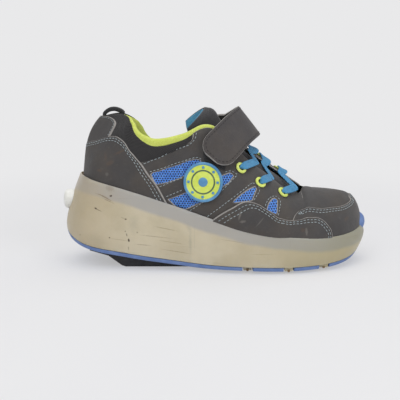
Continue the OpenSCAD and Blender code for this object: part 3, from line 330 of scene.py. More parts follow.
def on_plane(x, y, depth):
    """Point of a picture ray where it crosses the plane y = depth."""
    d = ray(x, y)
    return CAM + d * (depth - CAM[1]) / d[1]


# Materials

MARK_PX, MARK_REACH = 0.73 * MM, 33


def rgb(r, g, b):
    lin = [c / 255 / 12.92 if c <= 10 else ((c / 255 + 0.055) / 1.055) ** 2.4 for c in (r, g, b)]
    return (*lin, 1.0)


class Mat:
    """Node material with short ways to add nodes."""

    def __init__(self, name, colour, rough=0.6, **sockets):
        self.m = bpy.data.materials.new(name)
        self.m.use_nodes = True
        self.t = self.m.node_tree
        self.b = self.t.nodes["Principled BSDF"]
        self.b.inputs["Base Color"].default_value = colour
        self.b.inputs["Roughness"].default_value = rough
        for key, value in sockets.items():
            self.b.inputs[key.replace("_", " ")].default_value = value
        self.where = self.add("TexCoord").outputs["Object"]

    def add(self, kind, *values, props=None, **named):
        """Adds a node with its properties, its inputs in order and its named inputs."""
        n = self.t.nodes.new("ShaderNode" + kind)
        for key, value in (props or {}).items():
            setattr(n, key, value)
        for key, value in [*enumerate(values), *named.items()]:
            self.put(n.inputs[key], value)
        return n

    def put(self, socket, value):
        if isinstance(value, bpy.types.NodeSocket):
            self.t.links.new(value, socket)
        else:
            socket.default_value = value

    def set(self, name, value):
        self.put(self.b.inputs[name], value)

    def attr(self, name, out="Fac"):
        return self.add("Attribute", props={"attribute_name": name}).outputs[out]

    def noise(self, scale, detail=4.0, rough=0.55, where=None, distort=0.0):
        return self.add("TexNoise", Vector=where or self.where, Scale=scale, Detail=detail, Roughness=rough,
                        Distortion=distort).outputs["Fac"]

    def math(self, op, *values):
        return self.add("Math", *values, props={"operation": op}).outputs[0]

    def vec(self, op, *values):
        """Vector math; a length or a dot product comes out as a number."""
        out = self.add("VectorMath", *values, props={"operation": op}).outputs
        return out["Value" if op in ("LENGTH", "DOT_PRODUCT") else "Vector"]

    def span(self, value, lo, hi, a=0.0, b=1.0):
        smooth = {"interpolation_type": "SMOOTHSTEP"}
        return self.add("MapRange", value, lo, hi, a, b, props=smooth).outputs[0]

    def mix(self, fac, a, b):
        n = self.add("Mix", props={"data_type": "RGBA"})
        for i, value in ((0, fac), (6, a), (7, b)):
            self.put(n.inputs[i], value)
        return n.outputs[2]

    def mottle(self, a, b, scale, lo, hi, detail=4.0, rough=0.55, most=1.0):
        """Colour a with clouds of b."""
        return self.mix(self.span(self.noise(scale, detail, rough), lo, hi, 0.0, most), a, b)

    def marks(self, colour, items, tone, depth, soft=0.45):
        """Small spots of another tone at picture points on the near side: wear and dirt, and on the sole
        painted shade.
        """
        ragged = self.math("MULTIPLY", self.math("SUBTRACT", self.noise(900, 3, 0.7), 0.5), 1.3)
        for x, y, half_w, half_h, turn, power in items:
            near = self.vec("SUBTRACT", self.where, tuple(on_plane(x, y, depth) * MM))
            s, c = math.sin(math.radians(turn)), math.cos(math.radians(turn))
            w, h = half_w * MARK_PX, half_h * MARK_PX
            axes = ((c / w, 0, s / w), (-s / h, 0, c / h), (0, MARK_REACH, 0))
            far = self.add("CombineXYZ", *[self.vec("DOT_PRODUCT", near, axis) for axis in axes]).outputs[0]
            size = self.math("ADD", self.vec("LENGTH", far), ragged)
            colour = self.mix(self.span(size, soft, 1.25, power, 0.0), colour, tone)
        return colour

    def bump(self, height, distance, strength=1.0, under=None):
        n = self.add("Bump", Height=height, Distance=distance, Strength=strength)
        if under is not None:
            self.put(n.inputs["Normal"], under)
        self.set("Normal", n.outputs[0])
        return n.outputs[0]


# Wear seen in the picture, and painted shade on the sole: x, y, half width, half height, slant, strength
PALE_SCUFFS = [(239.5, 213, 1.2, 5.5, -14, 0.5), (242, 219.5, 3, 1.4, 10, 0.45), (229.5, 216, 0.9, 4, 0, 0.3),
               (305.8, 230.5, 1.4, 4, 5, 0.4), (259, 220, 0.7, 6, -40, 0.3), (105.5, 176, 2, 2, 0, 0.25),
               (324, 194, 5, 1.2, -8, 0.2)]
BROWN_SCUFFS = [(119, 153, 7, 1.1, 25, 0.4), (109, 164, 5, 2.5, 30, 0.3), (98, 172, 2.5, 1.5, 0, 0.4),
                (104, 158, 1.5, 5, 10, 0.25), (301.5, 228, 3, 2.4, 0, 0.3), (350, 222, 4, 2.4, 20, 0.3),
                (170, 152, 6, 1.2, 15, 0.25)]
DIRT = [(109.4, 198.1, 1.5, 1.1, 20, 0.95), (93.8, 210.8, 1.7, 0.9, -25, 0.9),
        (96.5, 212.2, 4.5, 0.5, -22, 0.5),
        (125, 220.6, 1.1, 0.8, 0, 0.85), (122, 219.4, 2.2, 0.4, -15, 0.4), (128.3, 241.4, 1.1, 1.9, 8, 0.95),
        (126.2, 236, 0.7, 1.8, 15, 0.55), (124.7, 232.6, 0.7, 0.9, 0, 0.5), (108.7, 239.3, 0.9, 0.8, 0, 0.7),
        (112.5, 187.6, 0.9, 0.7, 0, 0.7), (128, 249.5, 0.6, 2.4, 0, 0.4), (137, 233.5, 1.0, 0.8, 0, 0.35)]
SMEARS = [(104.5, 200.2, 8, 0.7, -27, 0.6), (107, 203, 6, 0.5, -24, 0.5), (99, 197.6, 7, 0.5, -16, 0.4),
          (108, 190.5, 5, 3.5, -30, 0.3), (165, 229.5, 12, 0.45, -11, 0.45), (155, 237.5, 16, 0.45, -6, 0.4),
          (143, 245.8, 8, 0.45, -5, 0.45), (177, 252.2, 15, 0.45, -8, 0.4), (172, 243, 14, 0.4, -8, 0.35),
          (118, 241, 10, 0.4, -6, 0.3), (232, 240, 14, 0.4, -8, 0.25), (262, 252.5, 12, 0.4, 0, 0.25)]
# Painted shade: soft greyer patches where the sole looks shaded
SOLE_PAINTED_SHADE = [(133.5, 225, 7, 13, 0, 0.22), (190.3, 243, 1.9, 15, 0, 0.4), (189, 229, 2.6, 5, 25, 0.28),
          (194.5, 238, 0.5, 17, 0, 0.25), (289.5, 243, 0.6, 7, 0, 0.25), (95, 243, 13, 8, -20, 0.16)]


def nubuck(name, base, warm, pale, worn=1.0):
    k = Mat(name, base, 0.9, Sheen_Weight=0.18, Sheen_Roughness=0.45)
    c = k.mottle(base, warm, 38, 0.38, 0.66, 6, 0.6)
    c = k.mottle(c, pale, 420, 0.56, 0.78, 5, 0.65, 0.35)
    streak = k.noise(60, 8, 0.72, k.vec("MULTIPLY", k.where, (0.5, 1, 2.2)), 1.4)
    c = k.mix(k.span(streak, 0.64, 0.76, 0, 0.32 * worn), c, pale)
    if worn == 1.0:
        c = k.marks(c, PALE_SCUFFS, rgb(128, 124, 118), -33)
        c = k.marks(c, BROWN_SCUFFS, rgb(98, 78, 62), -30)
    k.set("Base Color", c)
    k.set("Roughness", k.span(k.noise(90), 0.3, 0.7, 0.78, 0.96))
    fine = k.bump(k.noise(2600, 3, 0.7), 0.00018, 0.5)
    k.bump(k.noise(240, 4, 0.6), 0.0006, 0.35, fine)
    return k.m


def raw_edge(name, base, pale):
    k = Mat(name, base, 0.95)
    k.set("Base Color", k.mottle(base, pale, 900, 0.3, 0.7, 3))
    k.bump(k.noise(3000, 2), 0.0002, 0.5)
    return k.m


def hole_mesh(name, thread, deep, shine, pitch):
    """Open fabric: rows of round holes, offset row by row, in the mm layout of its piece; the holes are
    painted near-black as painted shade, and the lighter clouds on the threads are painted sheen.
    """
    k = Mat(name, thread, 0.62, Sheen_Weight=0.15)
    w, h = pitch / 2, pitch * 1.732 / 2
    at = k.attr("mm", "Vector")
    shifts = ((0, 0, 0), (w, h, 0))
    cells = [k.vec("WRAP", k.vec("ADD", at, shift), (w, h, 1), (-w, -h, -1)) for shift in shifts]
    near = k.math("MINIMUM", *[k.vec("LENGTH", cell) for cell in cells])
    solid = k.span(near, pitch * 0.24, pitch * 0.36)
    # Painted shade: the deep tone fills the holes; painted sheen: the shine tone clouds the threads
    k.set("Base Color", k.mix(solid, deep, k.mottle(thread, shine, 700, 0.35, 0.65, 3)))
    k.bump(k.math("ADD", solid, k.math("MULTIPLY", k.noise(4000, 2), 0.12)), 0.0004, 0.8)
    return k.m


def ribbed(name, base, pale, pitch, turn, depth=0.0003):
    """Fabric with fine ribs that run at a slant in the mm layout of its piece."""
    k = Mat(name, base, 0.85, Sheen_Weight=0.12)
    at = k.attr("mm", "Vector")
    x, y = math.cos(turn) / pitch, math.sin(turn) / pitch
    waves = []
    for axis, part in (((x, y, 0), 0.7), ((-y, x, 0), 0.3)):
        wave = k.math("SINE", k.math("MULTIPLY", k.vec("DOT_PRODUCT", at, axis), 2 * math.pi))
        waves.append(k.math("MULTIPLY", wave, part))
    high = k.math("ADD", *waves)
    c = k.mix(k.span(high, -0.4, 0.9), base, pale)
    k.set("Base Color", k.mottle(c, pale, 70, 0.4, 0.7, 5, most=0.4))
    k.bump(high, depth, 0.7)
    return k.m


def knit(name, base, pale, shade, scale=1500):
    k = Mat(name, base, 0.9, Sheen_Weight=0.3)
    c = k.mottle(base, pale, scale, 0.35, 0.7, 3, 0.6)
    k.set("Base Color", k.mottle(c, shade, 55, 0.45, 0.75, 5, most=0.45))
    fine = k.bump(k.noise(scale * 1.4, 2), 0.0003, 0.6)
    k.bump(k.noise(160, 3), 0.0008, 0.3, fine)
    return k.m


def plastic(name, base, other, rough=0.45, coat=0.0):
    k = Mat(name, base, rough, Coat_Weight=coat)
    k.set("Base Color", k.mottle(base, other, 120, 0.35, 0.7, 5))
    k.set("Roughness", k.span(k.noise(300), 0.3, 0.7, rough - 0.08, rough + 0.12))
    k.bump(k.noise(900, 3), 0.00008, 0.35)
    return k.m


def metal(name, base, other, rough=0.3):
    k = Mat(name, base, rough, Metallic=1.0)
    k.set("Base Color", k.mottle(base, other, 160, 0.35, 0.7, 5))
    brushed = k.noise(500, 5, 0.7, k.vec("MULTIPLY", k.where, (1, 6, 1)))
    k.set("Roughness", k.span(brushed, 0.3, 0.7, rough - 0.1, rough + 0.15))
    k.bump(k.noise(1600, 3), 0.00004, 0.3)
    return k.m


def sole_clear(name, cream, deep, olive, band, band_toe, heel_tone):
    """Worn translucent rubber: a greyer band under the lip, olive toward the toe, dirt, scratches and soft
    patches of painted shade.
    """
    k = Mat(name, cream, 0.38, Subsurface_Weight=0.35, Subsurface_Scale=0.006, Coat_Weight=0.15,
            Coat_Roughness=0.25, IOR=1.45, Subsurface_Radius=(1.0, 0.8, 0.55))
    c = k.mottle(cream, deep, 22, 0.35, 0.7, 5, 0.6)
    toe = k.span(k.attr("lengthwise"), 0.5, 0.98)
    c = k.mix(k.math("MULTIPLY", toe, 0.85), c, olive)
    # Grey band under the lip, with a wavering lower side
    waver = k.math("MULTIPLY", k.math("SUBTRACT", k.noise(26, 3), 0.5), 6.0)
    depth = k.math("ADD", k.attr("below_lip"), waver)
    c = k.mix(k.span(depth, 8.5, 12.0, 0.85, 0.0), c, k.mix(toe, band, band_toe))
    heel = k.span(k.attr("lengthwise"), 0.02, 0.3)
    c = k.mix(k.span(heel, 0.0, 1.0, 0.5, 0.0), c, heel_tone)
    lines = k.noise(90, 6, 0.7, k.vec("MULTIPLY", k.where, (0.25, 0.25, 9)))
    c = k.mix(k.span(lines, 0.62, 0.72, 0, 0.22), c, rgb(128, 112, 84))
    c = k.mottle(c, rgb(90, 76, 56), 210, 0.765, 0.80, 2, 0.4, 0.4)
    # Painted shade: greyer patches laid where the sole looks shaded
    c = k.marks(c, SOLE_PAINTED_SHADE, rgb(146, 146, 132), -37, -0.2)
    c = k.marks(c, SMEARS, rgb(120, 100, 74), -37)
    k.set("Base Color", k.marks(c, DIRT, rgb(58, 42, 34), -37))
    k.set("Roughness", k.span(k.noise(80, 5), 0.3, 0.7, 0.28, 0.5))
    k.bump(k.noise(160, 5), 0.0005, 0.3)
    return k.m


# Each look: its kind, its material's name, its tones and what else its kind takes
LOOKS = {
    "nubuck": (nubuck, "nubuck_grey", [(68, 66, 66), (75, 70, 66), (102, 97, 92)]),
    "strap": (nubuck, "strap_grey", [(68, 65, 66), (74, 69, 66), (98, 93, 90)], 0.6),
    "raw": (raw_edge, "raw_edge", [(136, 133, 130), (164, 160, 156)]),
    "thread": (raw_edge, "stitch_thread", [(150, 164, 170), (186, 196, 198)]),
    "dark_thread": (raw_edge, "dark_thread", [(44, 43, 44), (62, 60, 60)]),
    "blue_mesh": (hole_mesh, "mesh_blue", [(58, 116, 205), (14, 24, 52), (92, 150, 232)], 1.9),
    "collar": (ribbed, "mesh_black", [(30, 29, 30), (58, 56, 57)], 1.0, 0.9),
    "lime": (knit, "lining_lime", [(200, 212, 88), (216, 226, 122), (178, 190, 70)]),
    "tongue": (knit, "tongue_black", [(40, 39, 42), (58, 57, 60), (30, 29, 31)]),
    "tongue_blue": (knit, "tongue_blue", [(72, 146, 186), (96, 168, 204), (56, 122, 160)]),
    "lace": (ribbed, "lace_blue", [(58, 128, 178), (92, 164, 206)], 0.8, 1.2, 0.00025),
    "webbing": (ribbed, "webbing_black", [(26, 26, 28), (52, 52, 55)], 0.9, 0.0),
    "grip": (knit, "grip_black", [(24, 24, 26), (44, 44, 46), (16, 16, 18)], 900),
    "eyelet": (plastic, "eyelet_lime", [(208, 222, 106), (224, 236, 130)], 0.4),
    "badge_lime": (plastic, "badge_lime", [(206, 222, 88), (222, 236, 112)], 0.3, 0.4),
    "badge_blue": (plastic, "badge_blue", [(74, 134, 182), (96, 156, 200)], 0.35, 0.3),
    "badge_dark": (plastic, "badge_dark", [(86, 108, 82), (98, 120, 92)], 0.4),
    "sole": (sole_clear, "sole_clear", [(204, 194, 170), (187, 176, 149), (168, 157, 122), (168, 166, 164),
                                        (146, 145, 130), (182, 166, 136)]),
    "tooth": (plastic, "tooth_brown", [(122, 98, 68), (142, 118, 86)], 0.6),
    "tread": (plastic, "tread_blue", [(94, 120, 172), (112, 136, 184)], 0.6),
    "button": (plastic, "button_white", [(228, 228, 222), (242, 242, 238)], 0.35, 0.2),
    "housing": (plastic, "housing_black", [(34, 34, 36), (46, 46, 48)], 0.5),
    "board": (knit, "board_tan", [(176, 150, 112), (190, 166, 130), (156, 130, 96)], 700),
    "insole": (knit, "insole_grey", [(58, 58, 62), (78, 78, 82), (46, 46, 50)], 1100),
    "steel": (metal, "steel", [(172, 172, 174), (196, 196, 198)]),
    "alloy": (metal, "arm_alloy", [(150, 152, 156), (172, 174, 178)], 0.42),
    "race": (metal, "bearing_steel", [(196, 197, 200), (216, 217, 220)], 0.2),
    "tyre": (plastic, "wheel_cream", [(232, 226, 210), (240, 236, 224)], 0.4),
}
M = {key: kind(name, *[rgb(*tone) for tone in tones], *more)
     for key, (kind, name, tones, *more) in LOOKS.items()}


# Mesh helpers

SAME_POINT, SHARP, SHOWN_SHARP = 1e-6, 40, 32


def new_object(name, data):
    obj = bpy.data.objects.new(name, data)
    bpy.context.scene.collection.objects.link(obj)
    return obj


def new_mesh(name, verts, faces):
    """Mesh from points in mm."""
    me = bpy.data.meshes.new(name)
    me.from_pydata((np.asarray(verts, float) * MM).tolist(), [], [[int(i) for i in f] for f in faces])
    return me


def turn_out(me, merge):
    """Turns the faces outward, and joins points that coincide where merge says so."""
    bm = bmesh.new()
    bm.from_mesh(me)
    if merge:
        bmesh.ops.remove_doubles(bm, verts=bm.verts, dist=SAME_POINT)
    bmesh.ops.recalc_face_normals(bm, faces=bm.faces)
    bm.to_mesh(me)
    bm.free()


def build(name, verts, faces, mats, nodes=None, ids=None, attrs=None, body="shoe", sharp=SHARP):
    """Piece in place of the node of its own name, or of the nodes given."""
    me = new_mesh(name, verts, faces)
    for m in mats:
        me.materials.append(M[m])
    if ids is not None:
        me.polygons.foreach_set("material_index", np.asarray(ids, np.int32))
    for key, value in (attrs or {}).items():
        value = np.asarray(value, np.float32)
        if value.ndim == 1:
            me.attributes.new(key, "FLOAT", "POINT").data.foreach_set("value", value)
        else:
            value = np.pad(value, ((0, 0), (0, 1)))
            me.attributes.new(key, "FLOAT_VECTOR", "POINT").data.foreach_set("vector", value.ravel())
    turn_out(me, True)
    me.shade_smooth()
    me.set_sharp_from_angle(angle=math.radians(sharp))
    obj = new_object(name, me)
    if body:
        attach(obj, body)
    nodes = [name] if nodes is None else nodes
    if nodes:
        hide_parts(*nodes)
    return obj


def join(parts):
    """One mesh from several: points, faces and each face's material."""
    verts, faces, ids = [], [], []
    for v, f, mat in parts:
        faces += [tuple(len(verts) + i for i in q) for q in f]
        ids += [mat] * len(f)
        verts += list(v)
    return np.array(verts, float), faces, ids


def tube_mesh(sections):
    """Closed solid along like rings (n, m, 3), with capped ends."""
    s = np.asarray(sections, float)
    n, m = s.shape[:2]
    verts = np.concatenate([s.reshape(-1, 3), s[0].mean(0)[None], s[-1].mean(0)[None]])
    faces = grid_faces(n, m, wrap_m=True)
    faces += [(n * m, j, (j + 1) % m) for j in range(m)]
    faces += [(n * m + 1, (n - 1) * m + (j + 1) % m, (n - 1) * m + j) for j in range(m)]
    return verts, faces


def sweep(c, y, n, across, high):
    """Sections along a path, with offsets along each point's own two axes."""
    return c[:, None] + y[:, None] * across[..., None] + n[:, None] * high[..., None]


def loft_rings(rings):
    """Solid through closed rings, both ends closed across the middle."""
    r = np.asarray(rings, float)
    n, m = r.shape[:2]
    faces = grid_faces(n, m, wrap_m=True)
    for i in range(m // 2):
        low = [i + 1, i, (m - i) % m, m - i - 1]
        high = [(n - 1) * m + j for j in (i, i + 1, m - i - 1, (m - i) % m)]
        for q in (low, high):
            q = tuple(dict.fromkeys(q))
            if len(q) > 2:
                faces.append(q)
    return r.reshape(-1, 3), faces


def prism(low, high):
    """Closed solid between two like outlines."""
    n = len(low)
    sides = [(i, (i + 1) % n, n + (i + 1) % n, n + i) for i in range(n)]
    return [*low, *high], [tuple(range(n)), tuple(range(2 * n - 1, n - 1, -1)), *sides]


def cut_away(obj, verts, faces):
    """Takes a closed shape out of a piece for good."""
    tool = new_object("cut", new_mesh("cut", verts, faces))
    turn_out(tool.data, False)
    mod = obj.modifiers.new("cut", "BOOLEAN")
    mod.object, mod.operation, mod.solver = tool, "DIFFERENCE", "EXACT"
    dg = bpy.context.evaluated_depsgraph_get()
    done = bpy.data.meshes.new_from_object(obj.evaluated_get(dg))
    obj.modifiers.clear()
    obj.data = done
    bpy.data.objects.remove(tool)
    done.set_sharp_from_angle(angle=math.radians(SHARP))


# Sheets on the upper: outlines in (u, v) are laid out in about a millimetre a unit
METRIC = np.array([30.0, 62.0])
OUTLINE_STEP, EDGE_SOFT = 1.4, 0.3


def path(points, step=1.2):
    return along(np.asarray(points, float) * METRIC, step) / METRIC


def pair(loop):
    """An outline and its like on the inner side."""
    return ("outer", loop), ("inner", mirror(loop)[::-1])


def whole(half, at=HEEL):
    """An outer half and its like on the inner side, joined at the heel or at the toe, place 0."""
    return np.concatenate([half, (half * [-1, 1] + [2 * at, 0])[::-1][1:]])


def even_odd(loops, pts):
    """Which points lie inside the outlines."""
    inside = np.zeros(len(pts), bool)
    for l in loops:
        for (x1, y1), (x2, y2) in zip(l, np.roll(l, -1, 0)):
            hit = (y1 > pts[:, 1]) != (y2 > pts[:, 1])
            with np.errstate(divide="ignore", invalid="ignore"):
                cut = x1 + (pts[:, 1] - y1) * (x2 - x1) / (y2 - y1)
            inside ^= hit & (pts[:, 0] < cut)
    return inside


def even_loop(loop):
    """Closed outline in mm, evenly sampled."""
    p = np.asarray(loop, float) * METRIC
    p = np.concatenate([p, p[:1]])
    run = run_of(p)
    return sample(np.linspace(0, run[-1], max(8, int(run[-1] / OUTLINE_STEP)), endpoint=False), run, p)


def fill(loops, grid, rim):
    """Triangles inside outlines in mm: points, faces, the points on an outline and the faces beside one."""
    bound = np.concatenate(loops)
    edges, ring, first = [], [], 0
    for l in loops:
        edges += [(first + i, first + (i + 1) % len(l)) for i in range(len(l))]
        first += len(l)
        t = unit(np.roll(l, -1, 0) - np.roll(l, 1, 0))
        n = np.stack([-t[:, 1], t[:, 0]], 1)
        inward = np.where(even_odd(loops, l + n * rim)[:, None], 1, -1)
        ring.append(l + n * inward * rim)
    lo, hi = bound.min(0), bound.max(0)
    gx, gy = np.meshgrid(np.arange(lo[0], hi[0], grid), np.arange(lo[1], hi[1], grid * 0.87), indexing="ij")
    gx = gx + (np.arange(gx.shape[1]) % 2)[None] * grid / 2

    def clear(p, gap):
        p = p[even_odd(loops, p)]
        far = np.array([np.min(np.sum((bound - q) ** 2, 1)) for q in p])
        return p[far > gap * gap]
    ring = clear(np.concatenate(ring), rim * 0.85)
    inner = clear(np.stack([gx.ravel(), gy.ravel()], 1), grid * 0.75)
    every = [Vector(p) for p in np.concatenate([bound, ring, inner])]
    out, _, tris, orig, _, _ = geometry.delaunay_2d_cdt(every, edges, [], 0, 1e-4)
    out = np.array([v[:] for v in out])
    tris = np.array([t for t in tris if len(t) == 3])
    tris = tris[even_odd(loops, out[tris].mean(1))]
    on_edge = np.array([any(k < len(bound) for k in o) for o in orig])
    mid = out[tris].mean(1)
    near = np.full(len(mid), 1e9)
    for l in loops:
        for a, b in zip(l, np.roll(l, -1, 0)):
            k = np.clip(((mid - a) @ (b - a)) / max(np.dot(b - a, b - a), 1e-9), 0, 1)
            near = np.minimum(near, np.linalg.norm(mid - a - k[:, None] * (b - a), axis=1))
    return out, tris, on_edge, near < rim * 0.75


def patch(name, loop, mats=("nubuck", "raw"), holes=(), top=0.0, low=-1.0, grid=3.2,
          rim=0.45, flat=False, plain=lambda u, v: np.zeros(np.shape(u), bool)):
    """Sheet on the upper with windows, from depth low to top; its edge is raw but where plain says so."""
    p, tris, edge, rimmed = fill([even_loop(l) for l in (loop, *holes)], grid, rim)
    u, v = (p / METRIC).T
    n = len(p)
    verts = np.concatenate([face(u, v, np.where(edge, top - EDGE_SOFT, top)), face(u, v, low)])
    edges = [(t[i], t[(i + 1) % 3]) for t in tris for i in range(3)]
    count = Counter(frozenset(e) for e in edges)
    sides = [e for e in edges if count[frozenset(e)] == 1]
    faces = [tuple(t) for t in tris] + [(t[2] + n, t[1] + n, t[0] + n) for t in tris]
    faces += [(b, a, a + n, b + n) for a, b in sides]
    rimmed = rimmed & ~plain(*(p[tris].mean(1) / METRIC).T)
    raw_sides = ~plain(*(p[[a for a, _ in sides]] / METRIC).T)
    ids = np.concatenate([rimmed, np.zeros(len(tris), bool), raw_sides])
    mm = verts[:, [0, 2]] if flat else np.concatenate([p, p])
    return build(name, verts, faces, mats, ids=ids, attrs={"mm": mm}, sharp=50)


class Stitches:
    """Rows of short thread stitches gathered into one piece."""

    ALONG = np.array([0, 0.12, 0.5, 0.88, 1.0])
    LIFT = np.array([-0.5, 0.25, 0.45, 0.25, -0.5])
    WIDE = np.array([0.45, 0.95, 1.0, 0.95, 0.45])
    SIDES = 6

    def __init__(self):
        self.parts = []

    def line(self, pts, normals, length=1.8, gap=1.0, r=0.21):
        run = run_of(pts)
        rows, m = len(self.ALONG), self.SIDES
        turn = np.arange(m) * 2 * math.pi / m
        faces = grid_faces(rows, m, wrap_m=True)
        faces += [tuple(range(m - 1, -1, -1)), tuple(range((rows - 1) * m, rows * m))]
        at = gap / 2
        while at + length < run[-1]:
            c = sample(at + length * self.ALONG, run, pts)
            n = unit(sample(at + length * self.ALONG, run, normals))
            y = unit(np.cross(n, unit(c[-1] - c[0])))
            wide = (self.WIDE * r)[:, None]
            rings = sweep(c, y, n, wide * np.cos(turn), (self.LIFT * r)[:, None] + wide * np.sin(turn) * 0.9)
            self.parts.append((rings.reshape(-1, 3), faces, 0))
            at += length + gap

    def on_upper(self, uv, d, shift=0.0, side=1, **opts):
        """A row along a path on the upper, moved sideways by shift mm."""
        p = along(np.asarray(uv, float) * METRIC, 0.8)
        t = unit(np.gradient(p, axis=0))
        p = p + np.stack([-t[:, 1], t[:, 0]], 1) * shift * side
        u, v = (p / METRIC).T
        self.line(face(u, v, d), face_out(u, v), **opts)

    def both(self, uv, d, shift=0.0, **opts):
        """The row, and its like on the inner side."""
        self.on_upper(uv, d, shift, 1, **opts)
        self.on_upper(mirror(uv), d, shift, -1, **opts)

    def make(self, name, body="shoe", mat="thread"):
        verts, faces, _ = join(self.parts)
        return build(name, verts, faces, [mat], nodes=(), body=body, sharp=80)


# Sole: clear body with the wheel's pocket and the button's bore, then the blue tread

HOUSE_RISE = [[0, 12.6], [14, 8.5], [24, 1], [27, 0]]
HOUSE_BACK, HOUSE_FRONT, HOUSE_SIDE, ROOF_X, ROOF_Z, ROOF_FRONT = -96.0, -20.99, 19.6, -55.0, 49.3658, 31.3
BELOW, BEHIND, AHEAD = -20, -140, 130
BUTTON_Z, BUTTON_R, BUTTON_SEAT = JOINT_AT["button_press"][2], 7.5, -103.6
BUTTON_FREE, BUTTON_TRAVEL = 0.2, 4.0
FLEX_X = [HEEL_X + SOLE_LEN * k for k in (0.595, 0.724, 0.84)]
ROLL_SHARES = (1, 0.8, 0.6, 0.4, 0.2)
RING = np.linspace(0, TURNS, 384, endpoint=False)


def pocket_shape():
    """Room for the wheel's housing, with a seam all round."""
    back, front, half_w, roof = HOUSE_BACK - SEAM, HOUSE_FRONT + SEAM, HOUSE_SIDE + SEAM, ROOF_Z + SEAM
    outline = [(back + a, b + BELOW) for a, b in HOUSE_RISE]
    outline += [(front, BELOW), (front, ROOF_FRONT + SEAM), (ROOF_X + SEAM, roof), (back, roof)]
    return prism(*[[(x, y, z) for x, z in outline] for y in (-half_w, half_w)])


def bore_shape(x0, x1, z, r, n=40):
    turns = np.arange(n) * 2 * math.pi / n
    return prism(*[[(x, r * math.cos(t), z + r * math.sin(t)) for t in turns] for x in (x0, x1)])


def block(x0, x1, y, z0, z1, c=0.5):
    """Bar across the sole with sloped lower edges."""
    return prism(*[[(x0 + i, i - y, z), (x1 - i, i - y, z), (x1 - i, y - i, z), (x0 + i, y - i, z)]
                   for z, i in ((z0, c), (z1, 0))])


ring_share = share(plan(RING)[:, 0])
t_low = (TREAD_T + GLUE) / (lip_z(ring_share) - curve(EDGE, ring_share))
rings = [under(RING, k, TREAD_T + GLUE) for k in ROLL_SHARES]
rings += [wall(RING, t_low + (1 - t_low) * k) for k in np.linspace(0, 0.985, 18)]
rings += [wall(RING, 1.0, LIP_T * 0.18), wall(RING, 1.0, LIP_T * 0.55), bed(RING, LIP_T, 0)]
verts, faces = loft_rings(rings)
lengthwise = share(verts[:, 0])
below_lip = lip_z(np.clip(lengthwise, 0, 1)) - verts[:, 2]
midsole = build("midsole", verts, faces, ["sole"],
                attrs={"below_lip": below_lip, "lengthwise": lengthwise})
cut_away(midsole, *pocket_shape())
cut_away(midsole, *bore_shape(BEHIND, BUTTON_SEAT, BUTTON_Z, BUTTON_R + BUTTON_FREE))

rings = [under(RING, k, 0) for k in ROLL_SHARES] + [under(RING, 0, 0.35)]
rings += [wall_up(RING, TREAD_T * k) for k in (0.4, 0.8, 1)]
rings += [under(RING, k, TREAD_T) for k in (0.33, 0.66, 1)]
tread_v, tread_f = loft_rings(rings)


def tread_piece(name, spans, bars):
    """Part of the tread between planes across the sole, with its cross bars."""
    parts = []
    for x0, x1 in spans:
        bm = bmesh.new()
        vs = [bm.verts.new(p) for p in tread_v]
        for f in tread_f:
            bm.faces.new([vs[i] for i in f])
        for x, out in ((x0, -1), (x1, 1)):
            geom = list(bm.verts) + list(bm.edges) + list(bm.faces)
            done = bmesh.ops.bisect_plane(bm, geom=geom, plane_co=(x, 0, 0), plane_no=(out, 0, 0),
                                          clear_outer=True)
            cut = [e for e in done["geom_cut"] if isinstance(e, bmesh.types.BMEdge)]
            if cut:
                bmesh.ops.holes_fill(bm, edges=cut, sides=0)
        bm.verts.index_update()
        parts.append(([tuple(v.co) for v in bm.verts], [[v.index for v in f.verts] for f in bm.faces], 0))
        bm.free()
    for x0, x1, y, n in bars:
        pitch = (x1 - x0) / n
        for x in x0 + pitch * np.arange(n):
            parts.append((*block(x + pitch * 0.2, x + pitch * 0.8, y, 0, LUG_H + TREAD_T / 2), 0))
    verts, faces, _ = join(parts)
    return build(name, verts, faces, ["tread"])


gap = FLEX_GAP / 2
pads = [(a + gap, b - gap) for a, b in zip(FLEX_X, FLEX_X[1:])]
heel_bars = [(HOUSE_FRONT + 2, FLEX_X[0] - gap - 1, 20, 3)]
heel_tread = tread_piece("outsole_heel", [(-AHEAD, FLEX_X[0] - gap)], heel_bars)
cut_away(heel_tread, *pocket_shape())
tread_piece("outsole_pads", pads, [(a + 1, b - 1, 24, 2) for a, b in pads])
tread_piece("outsole_toe", [(FLEX_X[2] + gap, AHEAD)], [])

# Flex gaps: a clear block half way down and one brown tooth; half width, lower and upper side, and inset
GAP_BLOCKS = ((3.2, 2.0, 7.0, 2.2), (1.0, 1.4, 3.4, 2.0))
edge_x, edge_y = plan(RING)[:, 0], np.abs(plan(RING)[:, 1])
parts = []
for x in FLEX_X:
    reach = edge_y[np.argsort(np.abs(edge_x - x))[:8]].min()
    toe_up = 0.7 if x == FLEX_X[2] else 0.0
    for mat, (wide, low, high, back) in enumerate(GAP_BLOCKS):
        parts.append((*block(x - wide, x + wide, reach - back, low + toe_up, high, 0.3), mat))
verts, faces, ids = join(parts)
build("sole_teeth", verts, faces, ["sole", "tooth"], (), ids,
      {"below_lip": np.full(len(verts), 25.0), "lengthwise": share(verts[:, 0])})

# Insole, with a soft rounded rim: inset and height of its levels
levels = [(1.2, 0.0), (0.3, 0.5), (0, 1.4), (0, INSOLE_T - 2.2), (0.8, INSOLE_T - 1.1),
          (2.4, INSOLE_T - 0.45), (6, INSOLE_T - 0.35)]
insole_in, insole_up = LIP_T + INNER_D + SEAM + 3, BOARD_T + SEAM
verts, faces = loft_rings([bed(RING, insole_in + a, insole_up + b) for a, b in levels])
build("insole", verts, faces, ["insole"])


# Upper: sheets sewn over one another

